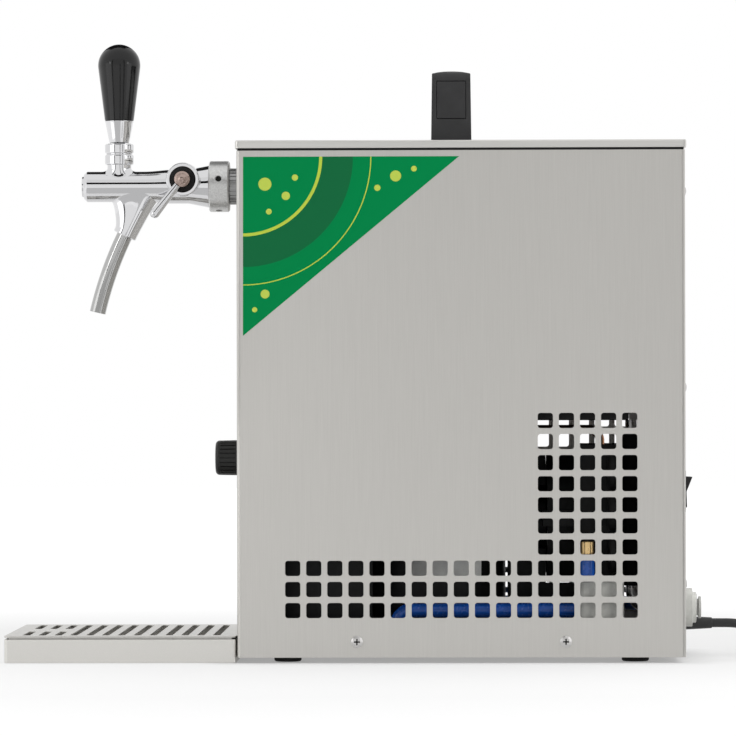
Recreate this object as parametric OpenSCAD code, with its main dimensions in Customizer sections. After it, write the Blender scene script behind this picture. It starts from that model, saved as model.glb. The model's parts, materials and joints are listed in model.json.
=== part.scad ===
// Draft beer dispenser: a counter-top dry cooler with a compensator tap and a drip tray.
// The floor is z = 0, the front faces -Y and the origin is the middle of the floor outline.
// Inside the modules, u is the distance behind the front face of the case.

/* [Case] */
// Width across the two side panels
case_w = 195; // [187:1:215]
// Depth from the front face to the rear edges
case_d = 343; // [335:1:370]
// Height from the floor to the top of the lid
case_h = 399.5; // [394:0.5:430]
// Thickness of the sheet steel
sheet = 1; // [0.8:0.1:1.4]
// Outside radius of the folded edges
fold_r = 3; // [2:0.5:4]
// Width of the inner folds of the side panels and the lid
fold_w = 12; // [8:1:16]
// Depth of the side folds of the front panel
front_fold = 15; // [10:1:20]
// Height of the lid skirt
lid_h = 6; // [4:0.5:10]
// Overhang of the lid past the panels
lid_over = 1; // [0.5:0.1:3]
// Thickness of the lid gasket
gasket_t = 1.8; // [1:0.1:4]
// Width of the lid gasket
gasket_w = 10; // [6:1:14]
// Thickness of the base plate
base_t = 1.2; // [1:0.1:2]
// Height of the side walls of the base plate
base_wall = 22; // [18:1:30]
// Height of the rear wall of the base plate
base_rear = 13; // [8:1:14]
// Height of the rubber feet
foot_h = 4; // [3:0.5:6]
// Diameter of the rubber feet
foot_d = 21; // [16:0.5:26]
// Distance of the feet from the front and rear edges
foot_inset = 38; // [30:1:50]
// Distance of the feet from the side panels
foot_side = 26; // [20:1:36]
// Diameter of the side screws' heads
screw_head_d = 9.2; // [7:0.1:11]
// Height of the side screws' heads
screw_head_h = 2.4; // [1.5:0.1:3.5]
// Diameter of the side screws
screw_d = 4; // [3:0.1:5]
// Length of the side screws under the head
screw_l = 9; // [6:0.5:12]
// Height of the side screws above the floor
screw_z = 16; // [13:0.5:19]
// Distance between the two screws of a side
screw_span = 159.6; // [120:0.1:200]

/* [Vents] */
// Width of a square vent hole
vent = 11.6; // [8:0.1:12]
// Pitch of the vent holes
vent_pitch = 16.1; // [14:0.1:17]
// Corner radius of a vent hole
vent_r = 2; // [1:0.1:3]
// Height of the lowest vent edge above the floor
vent_z = 34.2; // [30:0.1:40]
// Columns of the low vent band
vent_cols = 17; // [9:1:18]
// Rows of the low vent band
vent_rows = 3; // [1:1:5]
// Columns of the tall vent block at the rear
block_cols = 5; // [2:1:7]
// Rows of the tall vent block, with those of the band
block_rows = 10; // [4:1:12]
// Columns of vents in the rear panel
rear_cols = 6; // [3:1:6]
// Middle of the rear panel's vents across the case
rear_vent_x = -34; // [-40:1:-30]

/* [Carry handle] */
// Length of the handle across the case
handle_l = 156; // [140:1:170]
// Width of the handle at the lid
handle_w = 31; // [26:0.5:36]
// Width of the handle at its top
handle_top_w = 29.5; // [24:0.5:31]
// Height of the handle above the lid
handle_h = 54; // [48:0.5:62]
// Rise of the arched top across the handle
handle_arch = 1.8; // [1:0.1:3]
// Middle of the handle behind the front face
handle_u = 164.5; // [150:0.5:190]
// Radius of the handle's upper corners
handle_corner = 7; // [5:0.5:14]
// Length of the finger gap
grip_l = 100; // [90:1:110]
// Height of the finger gap
grip_h = 32; // [28:0.5:36]
// Radius of the finger gap's corners
grip_corner = 10; // [6:1:14]
// Width of the end caps
cap_w = 22; // [16:0.5:24]
// Distance of the end caps below the handle's rounded corners
cap_edge = 1; // [0.5:0.1:6]
// Thickness of the end caps
cap_t = 2; // [1.5:0.1:4]
// Lower edge of the end caps above the lid
cap_z = 17.5; // [14:0.5:22]

/* [Drip tray] */
// Length of the tray from front to rear
tray_l = 178; // [165:1:190]
// Distance of the tray's sides inside the sides of the case
tray_side = 2.5; // [0:0.5:12]
// Gap between the tray and the front panel
tray_gap = 0.7; // [0.3:0.1:3]
// Height of the pan
pan_h = 18; // [14:0.5:24]
// Gap between the rim of the pan and the grid
grid_gap = 1.4; // [0.5:0.1:3]
// Thickness of the tray's sheet
tray_t = 1.2; // [0.8:0.1:1.6]
// Corner radius of the tray
tray_corner = 3; // [2:0.5:8]
// Distance of the grid's skirt from the pan's wall
skirt_gap = 2; // [1:0.5:4]
// Width of a grid slot
slot_w = 5.6; // [4:0.1:7]
// Pitch of the grid slots
slot_pitch = 12.2; // [10:0.1:12.5]
// Number of slots
slot_count = 13; // [7:1:13]
// Number of split slots at the front
split_count = 3; // [1:1:5]
// Width of the plain middle between split slots
split_gap = 40; // [20:1:60]
// Plain margin at the ends of the slots
slot_margin = 11; // [9:0.5:20]

/* [Tap] */
// Height of the tap axis above the floor
tap_z = 368.5; // [364:0.5:369]
// Reach of the tap's nose in front of the case
tap_reach = 125.6; // [123:0.1:134]
// Diameter of the tap barrel
barrel_d = 24.2; // [22:0.1:25]
// Diameter of the flow chamber
chamber_d = 27; // [26:0.1:29]
// Diameter of the flare against the union nut
flare_d = 33.4; // [33:0.1:36]
// Diameter of the shank
shank_d = 20.8; // [18:0.1:22]
// Bore of the shank
shank_bore = 10; // [9.8:0.1:12]
// Length of the shank behind the front face
shank_l = 48; // [40:1:52]
// Diameter of the serrated collar
collar_d = 28.5; // [26:0.1:32]
// Length of the serrated collar
collar_l = 9.3; // [7:0.1:9.4]
// Number of serrations
serrations = 24; // [12:1:30]
// Width of a serration
serration_w = 1.6; // [1:0.1:1.8]
// Width of the back nut across flats
backnut_w = 32; // [28:1:36]
// Thickness of the back nut
backnut_t = 7; // [5:0.5:10]
// Diameter of the union nut
nut_d = 40; // [38:0.1:42]
// Length of the union nut
nut_l = 15.8; // [15:0.1:17]
// Gap between the union nut and the serrated collar
nut_gap = 0.5; // [0.3:0.1:1]
// Thickness of the union nut's rear lip
nut_lip = 3; // [2:0.1:3.5]
// Diameter of the spanner holes in the union nut
spanner_d = 5; // [3:0.1:6]
// Bore of the valve barrel
valve_bore = 13.6; // [13:0.1:14.5]
// Bore of the flow chamber
chamber_bore = 18; // [17.5:0.1:19]
// Distance of the valve seat in front of the case
seat_u = 65.2; // [64:0.1:67]
// Distance of the spout socket's end in front of the case
spout_u = 92.4; // [88:0.1:96]
// Height of the spout socket's end below the tap axis
spout_drop = 38.5; // [34:0.1:42]
// Lean of the spout at the socket in degrees
spout_lean = 25.8; // [20:0.1:30]
// Lean of the spout at its tip in degrees
tip_lean = 13; // [5:0.1:19]
// Radius of the spout's curve
spout_curve = 287; // [200:1:320]
// Outside diameter of the spout
spout_d = 12.6; // [12:0.1:13]
// Bore of the spout
spout_bore = 10; // [8:0.1:11]
// Outside diameter of the spout socket
socket_d = 15.8; // [15:0.1:18]
// Depth of the spout socket
socket_depth = 12; // [8:0.5:16]
// Radius of the hollow blend in front of the spout
blend_front_r = 10; // [6:0.5:11]
// Radius of the hollow blend behind the spout
blend_rear_r = 14; // [8:0.5:16]
// Width of the web that carries the blends
blend_w = 11; // [8:0.5:13]

/* [Tap lever] */
// Distance of the lever in front of the case
lever_u = 96.4; // [95:0.1:98]
// Diameter of the lever neck
neck_d = 18.8; // [18.6:0.1:21]
// Top of the lever neck above the tap axis
neck_h = 17; // [16.5:0.1:18]
// Diameter of the bonnet
bonnet_d = 22.6; // [22.4:0.1:25]
// Height of the bonnet
bonnet_h = 16.5; // [16:0.1:17]
// Width of the groove round the bonnet
bonnet_groove = 0.8; // [0.5:0.1:1.5]
// Pivot of the lever above the tap axis
pivot_h = 27.5; // [27:0.1:28]
// Diameter of the lever's ball
ball_d = 16; // [14:0.1:16.2]
// Diameter of the pin that the ball turns on
cross_d = 3; // [2.5:0.1:4]
// Diameter of the lever's pin
pin_d = 4.6; // [4:0.1:5]
// Diameter of the ball at the end of the pin
pin_ball_d = 5.2; // [5.1:0.1:5.6]
// Diameter of the lever's stud
stud_d = 8; // [6:0.1:8.4]
// Length of the stud above the ferrule
stud_l = 22; // [15:0.5:30]
// Gap between the bonnet and the ferrule
ferrule_gap = 0.7; // [0.5:0.1:1.2]
// Length of the ferrule
ferrule_l = 17.3; // [14:0.1:20]
// Lower diameter of the ferrule
ferrule_low_d = 15.6; // [13:0.1:15.8]
// Upper diameter of the ferrule
ferrule_top_d = 22.5; // [19:0.1:22.7]
// Length of the lever knob
knob_l = 60.4; // [50:0.1:70]
// Largest diameter of the lever knob
knob_d = 33.2; // [30:0.1:38]
// Lower diameter of the lever knob
knob_low_d = 22.8; // [20:0.1:26]

/* [Compensator] */
// Distance of the compensator in front of the case
comp_u = 45.8; // [45:0.1:47]
// Height of the compensator above the tap axis
comp_rise = 5; // [4.5:0.1:5.5]
// Diameter of the compensator boss
boss_d = 26; // [24:0.1:28]
// Reach of the boss from the middle of the tap
boss_reach = 18.5; // [17:0.1:22]
// Diameter of the black gland ring
gland_d = 19; // [16:0.1:21]
// Thickness of the gland ring
gland_t = 2.4; // [1.5:0.1:3]
// Diameter of the compensator spindle
spindle_d = 8; // [6:0.1:8.4]
// Diameter of the lever hub
hub_d = 12.3; // [11:0.1:15]
// Length of the lever hub
hub_l = 6.4; // [5:0.1:8]
// Throw of the spindle's crank pin
crank_throw = 4; // [3.5:0.1:4.2]
// Diameter of the crank pin
crank_d = 3; // [2:0.1:3.2]
// Length of the compensator lever from the hub's axis
comp_lever_l = 38; // [32:0.5:44]
// Lean of the compensator lever below the horizontal
comp_lean = 51.6; // [30:0.1:70]
// Diameter of the compensator lever at the hub
comp_root_d = 4.7; // [4:0.1:5.5]
// Diameter of the compensator lever at its tip
comp_tip_d = 7.5; // [6:0.1:9]
// Diameter of the compensator cone at its widest
cone_d = 16; // [14:0.1:16.5]
// Diameter of the compensator cone at its tip
cone_tip_d = 9; // [7:0.1:10]

/* [Thermostat] */
// Height of the thermostat above the floor
dial_z = 155.7; // [140:0.5:175]
// Diameter of the thermostat knob at the panel
dial_d = 27.9; // [24:0.1:32]
// Diameter of the thermostat knob at its face
dial_face_d = 27; // [20:0.1:28]
// Reach of the thermostat knob in front of the case
dial_reach = 21; // [17:0.5:26]
// Gap between the thermostat knob and the panel
dial_gap = 1; // [0.5:0.1:2]
// Number of grip grooves round the knob
dial_grooves = 24; // [12:1:36]
// Diameter of the thermostat shaft
dial_shaft_d = 6; // [5:0.1:6.4]
// Diameter of the thermostat bush
bush_d = 10; // [9:0.1:11]
// Width of the thermostat box
thermostat_w = 34; // [28:1:42]
// Depth of the thermostat box
thermostat_d = 28; // [22:1:34]

/* [Rear fittings] */
// Place of the rocker switch across the case
switch_x = 52; // [46:1:60]
// Height of the rocker switch's pivot above the floor
switch_z = 130; // [115:1:150]
// Width of the switch body
switch_w = 21; // [19:0.5:24]
// Height of the switch body
switch_h = 28; // [27:0.5:32]
// Depth of the switch body behind the panel
switch_d = 20; // [16:1:26]
// Width of the switch flange
switch_flange = 2.5; // [2:0.1:4]
// Width of the rocker
rocker_w = 16; // [13:0.5:17]
// Half tilt of the rocker in degrees
rocker_tilt = 10; // [8:0.5:11]
// Place of the beer inlet across the case
inlet_x = 20; // [16:1:26]
// Height of the beer inlet above the floor
inlet_z = 38.9; // [37:0.1:44]
// Diameter of the beer tube
inlet_tube = 9.5; // [8:0.1:10]
// Diameter of the inlet's flange
inlet_flange = 30; // [26:0.5:32]
// Place of the air outlet across the case
outlet_x = -52; // [-58:1:-46]
// Height of the air outlet above the floor
outlet_z = 38.9; // [37:0.1:44]
// Diameter of the air tube
outlet_tube = 8; // [6:0.1:8.5]
// Diameter of the outlet's flange
outlet_flange = 24; // [22:0.5:26]
// Length of a fitting's flange
fitting_flange = 9; // [7:0.1:10]
// Length of a fitting's nose past its flange
fitting_nose = 3; // [2:0.1:4]
// Free travel of a collet
collet_gap = 1.8; // [1.5:0.1:3]
// Thickness of a collet's flange
collet_lip = 2; // [1.5:0.1:3]
// Length of a collet's sleeve inside its fitting
collet_sleeve = 14; // [10:0.5:16]
// Wall of a collet
collet_wall = 1.75; // [1.4:0.05:2]
// Length of a fitting's thread inside the case
fitting_thread = 19; // [16:1:22]
// Thickness of a fitting's nut
fitting_nut = 7; // [5:0.5:9]

/* [Mains lead] */
// Diameter of the lead
cord_d = 7.3; // [6:0.1:8]
// Place of the lead across the case
cord_x = -12; // [-16:1:-8]
// Length of the strain relief behind the rear panel
relief_l = 26; // [20:1:32]
// Diameter of the strain relief at the panel
relief_d = 11; // [10:0.1:13]
// Diameter of the strain relief's panel flange
relief_flange_d = 15; // [14:0.5:18]
// Inside radius of the coil's turns
coil_r = 30; // [30:0.5:34]
// Turns wound in each layer
coil_wind = 2.75; // [1.75:1:3.75]
// Step of the coil from turn to turn
coil_step = 8.8; // [8.8:0.1:10]
// Step of the coil from layer to layer
coil_rise = 8.4; // [8.4:0.1:9]
// Width of the tie
tie_w = 9; // [6:0.5:12]
// Thickness of the tie
tie_t = 0.6; // [0.4:0.1:0.6]
// Diameter of the plug's face
plug_d = 38; // [36:0.5:40]
// Length of the plug
plug_l = 44; // [40:1:50]
// Diameter of the plug's pins
plug_pin_d = 4.8; // [4:0.1:5]
// Length of the plug's pins
plug_pin_l = 19; // [17:0.5:20]
// Distance between the plug's pins
plug_pin_gap = 19; // [18:0.5:20]

/* [Cooling unit] */
// Radius of the compressor shell
comp_shell_r = 56; // [50:1:57]
// Height of the compressor shell
comp_shell_h = 128; // [115:1:134]
// Rounding of the compressor shell
comp_round = 27; // [20:1:28]
// Middle of the compressor across the case
comp_x = -8; // [-10:1:-4]
// Middle of the compressor behind the front face
comp_mid_u = 150; // [146:1:152]
// Height of the compressor's rubber mounts
mount_h = 9; // [7:0.5:12]
// Diameter of the compressor's rubber mounts
mount_d = 20; // [16:1:24]
// Thickness of the compressor bracket
bracket_t = 2.5; // [2:0.1:4]
// Length of the compressor bracket across the case
bracket_l = 136; // [128:1:140]
// Width of the compressor bracket
bracket_w = 92; // [80:1:100]
// Width of the condenser across the case
condenser_w = 132; // [120:1:140]
// Depth of the condenser
condenser_d = 32; // [24:1:34]
// Height of the condenser
condenser_h = 102; // [90:1:106]
// Lower edge of the condenser above the floor
condenser_z = 64; // [60:1:66]
// Distance of the condenser's rear from the rear edges
condenser_back = 47; // [44:1:52]
// Number of condenser fins
fin_count = 23; // [11:2:33]
// Thickness of a condenser fin
fin_t = 0.8; // [0.5:0.1:1.2]
// Diameter of the condenser tube
tube_d = 8; // [6:0.5:9]
// Diameter of the fan's ring
fan_d = 98; // [88:1:98]
// Depth of the fan's ring
fan_ring = 24; // [18:0.5:26]
// Gap between the fan blades and the ring
fan_gap = 2; // [1:0.1:3]
// Number of fan blades
blades = 5; // [3:1:7]
// Pitch of the fan blades in degrees
blade_pitch = 55; // [45:1:65]
// Diameter of the fan motor
motor_d = 50; // [40:1:56]
// Length of the fan motor
motor_l = 26; // [22:1:27]
// Lower face of the insulated block above the floor
cold_z = 185; // [184:0.5:192]
// Front face of the insulated block behind the front face
cold_u = 66; // [62:1:72]
// Depth of the insulated block
cold_d = 234; // [220:1:245]
// Gap between the insulated block and the side panels
cold_gap = 9; // [6:0.5:14]
// Diameter of the beer pipe
pipe_d = 9.5; // [8:0.1:9.6]
// Diameter of the copper pipes
copper_d = 7; // [6:0.1:8]
// Width of the air pump
pump_w = 36; // [30:1:38]
// Depth of the air pump
pump_d = 34; // [28:1:36]
// Diameter of the air hose
hose_d = 11; // [9:0.5:12]

/* [Clearances] */
// Gap round a part that turns or slides
run_gap = 0.3; // [0.2:0.05:0.4]
// Gap round a part that is pushed in
slip_gap = 0.05; // [0.02:0.01:0.1]
// Gap round a screw or bush in a sheet
hole_gap = 0.3; // [0.2:0.05:0.5]

/* [Hidden] */
$fn = 48;
// Overshoot of a cut past the face that it opens
over = 1;

steel = [0.75, 0.74, 0.72];
pale_steel = [0.83, 0.83, 0.81];
zinc = [0.62, 0.63, 0.64];
chrome = [0.82, 0.83, 0.85];
satin = [0.70, 0.71, 0.72];
copper = [0.72, 0.45, 0.30];
black = [0.13, 0.13, 0.13];
rubber = [0.08, 0.08, 0.08];
grey_plastic = [0.72, 0.72, 0.69];
blue = [0.10, 0.28, 0.70];
foam = [0.04, 0.04, 0.04];

// Case
half_w = case_w / 2;
inner_w = half_w - sheet;
lid_z = case_h - lid_h;
panel_top = lid_z - gasket_t;
rear_u = case_d - sheet;
rear_in_u = rear_u - sheet;
front_seam = fold_r + sheet / 4;
base_u = front_fold + hole_gap;
screw_us = [case_d / 2 - screw_span / 2, case_d / 2 + screw_span / 2];
foot_chamfer = 1;
screw_slot = [1.1, 5, 1.2];
collet_end = rear_u + fitting_flange + fitting_nose + collet_gap + collet_lip;
relief_end = rear_u + relief_l;
front_y = (tray_gap + tray_l - max(collet_end, relief_end)) / 2;

// Vents
band_u = case_d / 2 - (vent_cols - 1) * vent_pitch / 2;
row_z = vent_z + vent / 2;
corner_steps = 3;

// Carry handle
cap_h = handle_h - handle_corner - cap_edge - cap_z;
handle_arch_r = (handle_top_w / 2) ^ 2 / (2 * handle_arch) + handle_arch / 2;

// Drip tray
tray_w = case_w - 2 * tray_side;
tray_u = -tray_gap - tray_l / 2;
tray_h = pan_h + grid_gap + tray_t;

// Tap, with places counted back from the front face
nut_front = collar_l + nut_gap + nut_l;
nut_rear = collar_l + nut_gap;
shank_head_l = 3;
shank_front = nut_rear + nut_lip + shank_head_l + run_gap;
thread_step = 0.8;
thread_d = flare_d - 2 * slip_gap - thread_step;
shank_shoulder = 1.5;
shank_neck_d = shank_d + 2 * shank_shoulder;
nut_chamfer = 1;
spanner_depth = 2;
spanner_turn = 16;
tail_front = nut_front + slip_gap;
nose_step = [1.6, 8];
nose_cone = [4, 10];
nose_wall = 8.6;
bore_front = tap_reach - nose_wall;
seat_cone = 2;
boss_step = 4;
neck_flare = [2.5, 4];
spout_z = tap_z - spout_drop;
spout_dir = [0, -sin(spout_lean), -cos(spout_lean)];
tip_dir = [0, -sin(tip_lean), -cos(tip_lean)];
spout_start = [0, -spout_u, spout_z];
spout_tangent = spout_curve * tan((spout_lean - tip_lean) / 2);
spout_corner = spout_start + spout_dir * spout_tangent;
spout_tip = spout_corner + tip_dir * spout_tangent;
branch_root = [spout_drop * tan(spout_lean) - spout_u, tap_z];
branch_run = [-sin(spout_lean), -cos(spout_lean)];
branch_side = [-cos(spout_lean), sin(spout_lean)];
blend_sink = 0.4;

// Tap lever
pivot_z = tap_z + pivot_h;
neck_top = tap_z + neck_h;
bonnet_top = neck_top + bonnet_h;
bonnet_mid = neck_top + bonnet_h / 2;
bonnet_wall = 0.7;
cross_in = 1;
bonnet_floor = 2;
bonnet_hole = 13;
bonnet_chamfer = 0.6;
groove_depth = 0.9;
ferrule_z = bonnet_top + ferrule_gap;
knob_z = ferrule_z + ferrule_l;
knob_ball_z = knob_z + knob_l - knob_d / 2;
knob_rim = [1, 1.1];
knob_rim_z = knob_z + knob_rim[1];
lever_slot = [3.2, 8.9, 11];
neck_wall = 1.5;
neck_bore = neck_d - 2 * neck_wall;

// Valve
piston_d = valve_bore - 2 * run_gap;
piston_reach = [15.6, 8.4];
piston_front = lever_u + piston_reach[0];
piston_rear = lever_u - piston_reach[1];
stem_d = 6;
seal_t = 2;
seal_gap = 0.3;
seal_room = 1.3;
seal_d = chamber_bore - 2 * seal_room;
backing_d = 14;
pocket_half = pin_ball_d / 2 + run_gap;
pocket_flare = 2.75;
pocket_floor = 1.4;
pocket_neck = 1;

// Compensator
comp_z = tap_z + comp_rise;
hub_x = boss_reach + gland_t / 3 + run_gap;
spindle_end = 2.5;
crank_end = -1.5;
comp_lever_x = hub_x + hub_l / 2;
cone_reach = [4.2, 8, 4];
cone_front = comp_u + cone_reach[0];
cone_full = comp_u - cone_reach[1];
cone_rear = shank_front + cone_reach[2];
cone_flat_gap = 0.4;
cone_flat = spindle_end - cone_flat_gap;
cone_step = [1.5, 2];
cone_front_d = 14;

// Thermostat
bush_l = 4;
bush_nut_t = 2.4;
bush_nut_w = 14;
dial_round = 3;
dial_hollow = [20, 5.5];
dial_groove = [1, 0.8];
dial_groove_ends = [1, 4];
dial_skirt = [3, 2, 0.3];
dial_mark = 3;
dial_shaft_in = [6, 12];
dial_shaft = [dial_shaft_in[0] - dial_reach, dial_shaft_in[1]];
thermostat_h = 30;

// Rear fittings
switch_lip = 2;
switch_wall = 0.8;
rocker_room = 1;
rocker_taper = 1;
rocker_len = 24;
rocker_rise = 4.5;
rocker_dip = 2;
rocker_deep = 4;
trunnion_d = 3;
switch_pivot_u = rear_u + switch_flange / 2;
fitting_wall = 3;
fitting_shoulder = 3;
fitting_duct = 1.5;
fitting_bore_stop = 6;
collet_room = 2;
collet_rim = 2;
tube_gap = 0.05;
hex_wall = 4;

// Mains lead
cord_z = 25.3;
relief_flange_t = 2.5;
relief_neck = 9;
relief_in = 6;
relief_catch = 1;
relief_wall = 0.6;
cord_exit = [cord_x, relief_end, cord_z];
coil_z = cord_d / 2 + tie_t + slip_gap;
// Route of the free lead, from the end of its strain relief down to the coil
lead_route = [
    [0, 0, 0], [0, 8, 0], [0, 16, -0.2], [0, 24, -1.4], [0, 32, -4], [0, 40, -7.8],
    [0, 48, -12], [0, 56, -16], [0, 64, -19], [0, 72, -20.6], [0, 80, -21], [0, 92, -21]
];
// Route of the last stretch, from the end of the coil to the plug
tail_route = [[0, 0, 0], [0, 10, 0], [0, 20, 0.6], [0, 30, 2.6], [0, 40, 4.9], [0, 48, 6], [0, 56, 6.3]];
lead_drop = (cord_z - coil_z) / -lead_route[len(lead_route) - 1].z;
lead_path = [for (p = lead_route) cord_exit + [p.x, p.y, p.z * lead_drop]];
lead_end = lead_path[len(lead_path) - 1];
coil_out_r = coil_r + coil_step * coil_wind;
coil_mid = [lead_end.x - coil_out_r, lead_end.y + cord_d];
coil_turns = 2 * coil_wind + 0.5;
loop_rings = 24;
lead_sides = 10;
coil_sides = 6;
tie_room = [0.6, 0.4];
coil_end = [lead_end.x, coil_mid.y + cord_d, coil_z + coil_rise];
tail_rise = (plug_d / 2 - coil_end.z) / tail_route[len(tail_route) - 1].z;
tail_path = [for (p = tail_route) coil_end + [p.x, p.y, p.z * tail_rise]];
plug_start = tail_path[len(tail_path) - 1];
plug_boot = [11, 16, 14];
plug_grip = [30, 33];
plug_rim = 8;
plug_notch = [6, 3];
plug_steps = [4, 1];
pin_point = 1.5;

// Cooling unit
floor_z = foot_h + base_t;
bracket_z = floor_z + mount_h;
shell_z = bracket_z + bracket_t;
condenser_u = [case_d - condenser_back - condenser_d, case_d - condenser_back];
condenser_x = condenser_w / 2;
fin_inset = 2;
bend_count = 3;
bend_room = 8;
bend_pitch = 2 * tube_d + bend_room;
bend_u = condenser_u[1] - tube_d;
shroud_t = 2;
shroud_leg = 40;
shroud_u = condenser_u[0] - shroud_t;
fan_low = 4;
fan_z = condenser_z + fan_d / 2 - fan_low;
ring_wall = 2;
blade_d = fan_d - 2 * fan_gap;
blade_chord = 14;
blade_t = 1.2;
fan_hub_d = 28;
fan_hub_l = 10;
fan_hub_gap = 1.2;
fan_hub_round = 3;
fan_shaft_d = 5;
fan_shaft_l = 10;
arm = [6, 3];
arm_gap = 0.5;
motor_round = 4;
motor_u = shroud_u - fan_ring - arm_gap;
blade_u = motor_u + fan_hub_gap + fan_hub_l / 2;
shell_seam = [2, 5];
shell_out_r = comp_shell_r + shell_seam[0];
mount_waist = 2;
post_gap = 1.5;
starter_w = 60;
starter_d = 61;
motor_post = [comp_mid_u + shell_out_r + post_gap, motor_u];
cold_top = panel_top - sheet;
pump_gap = 4;
pump_round = 4;
pump_x = span(inner_w - pump_gap, -pump_w, 0);
pump_u = span(shroud_u, 0, pump_d);
pump_head = [20, 2];
pump_h = condenser_z - floor_z - pump_head[1] - run_gap;
hose_off = 2;
hose_gap = 12;
hose_bend = 11;
hose_run = 1;
hose_low = outlet_z - 2 * hose_bend - hose_run;
hose_drop_u = comp_mid_u - comp_shell_r / 2;
hose_x = pump_x[0] + pump_w / 2 - hose_off;
hose_far_x = outlet_x - 2 * hose_bend - hose_run;
hose_front_u = comp_mid_u - shell_out_r - hose_d / 2 - hose_gap;
starter_z = hose_low + hose_d / 2 + hose_run;
starter_h = shell_z + comp_shell_h / 2 - slip_gap - starter_z;
riser_in = 6;
riser_top = 92;
hose_end = rear_in_u - fitting_thread;
suction_step = 1;
suction_d = copper_d + 2 * suction_step;
copper_side = comp_shell_r / 5;
copper_gap = 4;
discharge_z = cold_z - copper_d / 2 - copper_gap;
copper_bend = 9;
pipe_bend = 14;
pipe_in = 10;
pipe_set = 18;

// Shared shapes

module from_front() translate([0, front_y, 0]) children();

module both_sides() {
    children();
    mirror([1, 0, 0]) children();
}

module block(x, u, z) translate([x[0], u[0], z[0]]) cube([x[1] - x[0], u[1] - u[0], z[1] - z[0]]);

module rod_x(u, z, d, x) translate([x[0], u, z]) rotate([0, 90, 0]) cylinder(d = d, h = x[1] - x[0]);

module rod_y(x, z, d, u) translate([x, u[0], z]) rotate([-90, 0, 0]) cylinder(d = d, h = u[1] - u[0]);

module rod_z(x, u, d, z) translate([x, u, z[0]]) cylinder(d = d, h = z[1] - z[0]);

// Turned solid about an axis along u, from [radius, u] points
module turned_y(x, z, outline) translate([x, 0, z]) rotate([-90, 0, 0]) rotate_extrude() polygon(outline);

// Turned solid about an upright axis, from [radius, z] points
module turned_z(x, u, outline) translate([x, u, 0]) rotate_extrude() polygon(outline);

// Turned solid about an axis across the case, from [radius, x] points
module turned_x(u, z, outline) translate([0, u, z]) rotate([0, 90, 0]) rotate_extrude() polygon(outline);

// Prism across the case from an outline in [u, z]
module extrude_x(x) translate([x[0], 0, 0]) rotate([90, 0, 90]) linear_extrude(x[1] - x[0]) children();

// Prism from front to rear from an outline in [x, z]
module extrude_y(u) translate([0, u[1], 0]) rotate([90, 0, 0]) linear_extrude(u[1] - u[0]) children();

module round_rect(w, d, r) {
    square([w - 2 * r, d], center = true);
    square([w, d - 2 * r], center = true);
    for (sx = [-1, 1], sy = [-1, 1]) translate([sx * (w / 2 - r), sy * (d / 2 - r)]) circle(r);
}

// Rectangle on the x axis with its two upper corners rounded
module round_top(w, h, r) {
    translate([-w / 2, 0]) square([w, h - r]);
    translate([r - w / 2, 0]) square([w - 2 * r, h]);
    for (s = [-1, 1]) translate([s * (w / 2 - r), h - r]) circle(r);
}

// A range from c + a to c + b, and one of half width h about c
function span(c, a, b) = [c + a, c + b];
function about(c, h) = [c - h, c + h];

function unit(v) = v / norm(v);

function across(d) = unit(cross(d, abs(d.z) < 0.9 ? [0, 0, 1] : [1, 0, 0]));

module on_axes(p, ex, ey, ez) {
    multmatrix([
        [ex.x, ey.x, ez.x, p.x],
        [ex.y, ey.y, ez.y, p.y],
        [ex.z, ey.z, ez.z, p.z],
        [0, 0, 0, 1]
    ]) children();
}

// Children stand at p with their z axis along d
module along(p, d) {
    ez = unit(d);
    ex = across(ez);
    on_axes(p, ex, cross(ez, ex), ez) children();
}

// Disc of diameter d, or a ring where it has a bore
module disc(d, bore) difference() {
    circle(d = d);
    if (bore > 0) circle(d = bore);
}

module strut(a, b, d, bore = 0) along(a, b - a) linear_extrude(norm(b - a)) disc(d, bore);

function turn(a, b) = acos(max(-1, min(1, unit(a) * unit(b))));

// Round bend of a pipe at corner p, from direction a into direction b
module elbow(p, a, b, d, r, bore) {
    side = unit(b - a * (a * b));
    start = p - a * r * tan(turn(a, b) / 2);
    on_axes(start + side * r, -side, a, cross(-side, a))
        rotate_extrude(angle = turn(a, b)) translate([r, 0]) disc(d, bore);
}

// Round pipe along corner points, with bends of radius r
module pipe(points, d, r, bore = 0) {
    last = len(points) - 1;
    dirs = [for (i = [0 : last - 1]) unit(points[i + 1] - points[i])];
    backs = [for (i = [0 : last]) i == 0 || i == last ? 0 : r * tan(turn(dirs[i - 1], dirs[i]) / 2)];
    for (i = [0 : last - 1]) {
        a = points[i] + dirs[i] * backs[i];
        b = points[i + 1] - dirs[i] * backs[i + 1];
        if ((b - a) * dirs[i] > slip_gap) strut(a, b, d, bore);
    }
    for (i = [1 : last - 1]) elbow(points[i], dirs[i - 1], dirs[i], d, r, bore);
}

function ring(p, t, r, sides) = let (ex = unit(cross(t, [0, 0, 1])), ey = cross(ex, t))
    [for (i = [0 : sides - 1]) p + r * (cos(360 * i / sides) * ex + sin(360 * i / sides) * ey)];

// Tube of flat facets along the points of a path
module tube(path, d, sides) {
    n = len(path);
    points = [
        for (i = [0 : n - 1])
            each ring(path[i], unit(path[min(i + 1, n - 1)] - path[max(i - 1, 0)]), d / 2, sides)
    ];
    walls = [
        for (i = [0 : n - 2], k = [0 : sides - 1])
            let (a = i * sides + k, b = i * sides + (k + 1) % sides)
                each [[a, a + sides, b], [b, a + sides, b + sides]]
    ];
    ends = [
        for (k = [1 : sides - 2])
            each [[0, k, k + 1], [(n - 1) * sides, (n - 1) * sides + k + 1, (n - 1) * sides + k]]
    ];
    polyhedron(points, concat(walls, ends));
}

// Case

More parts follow.
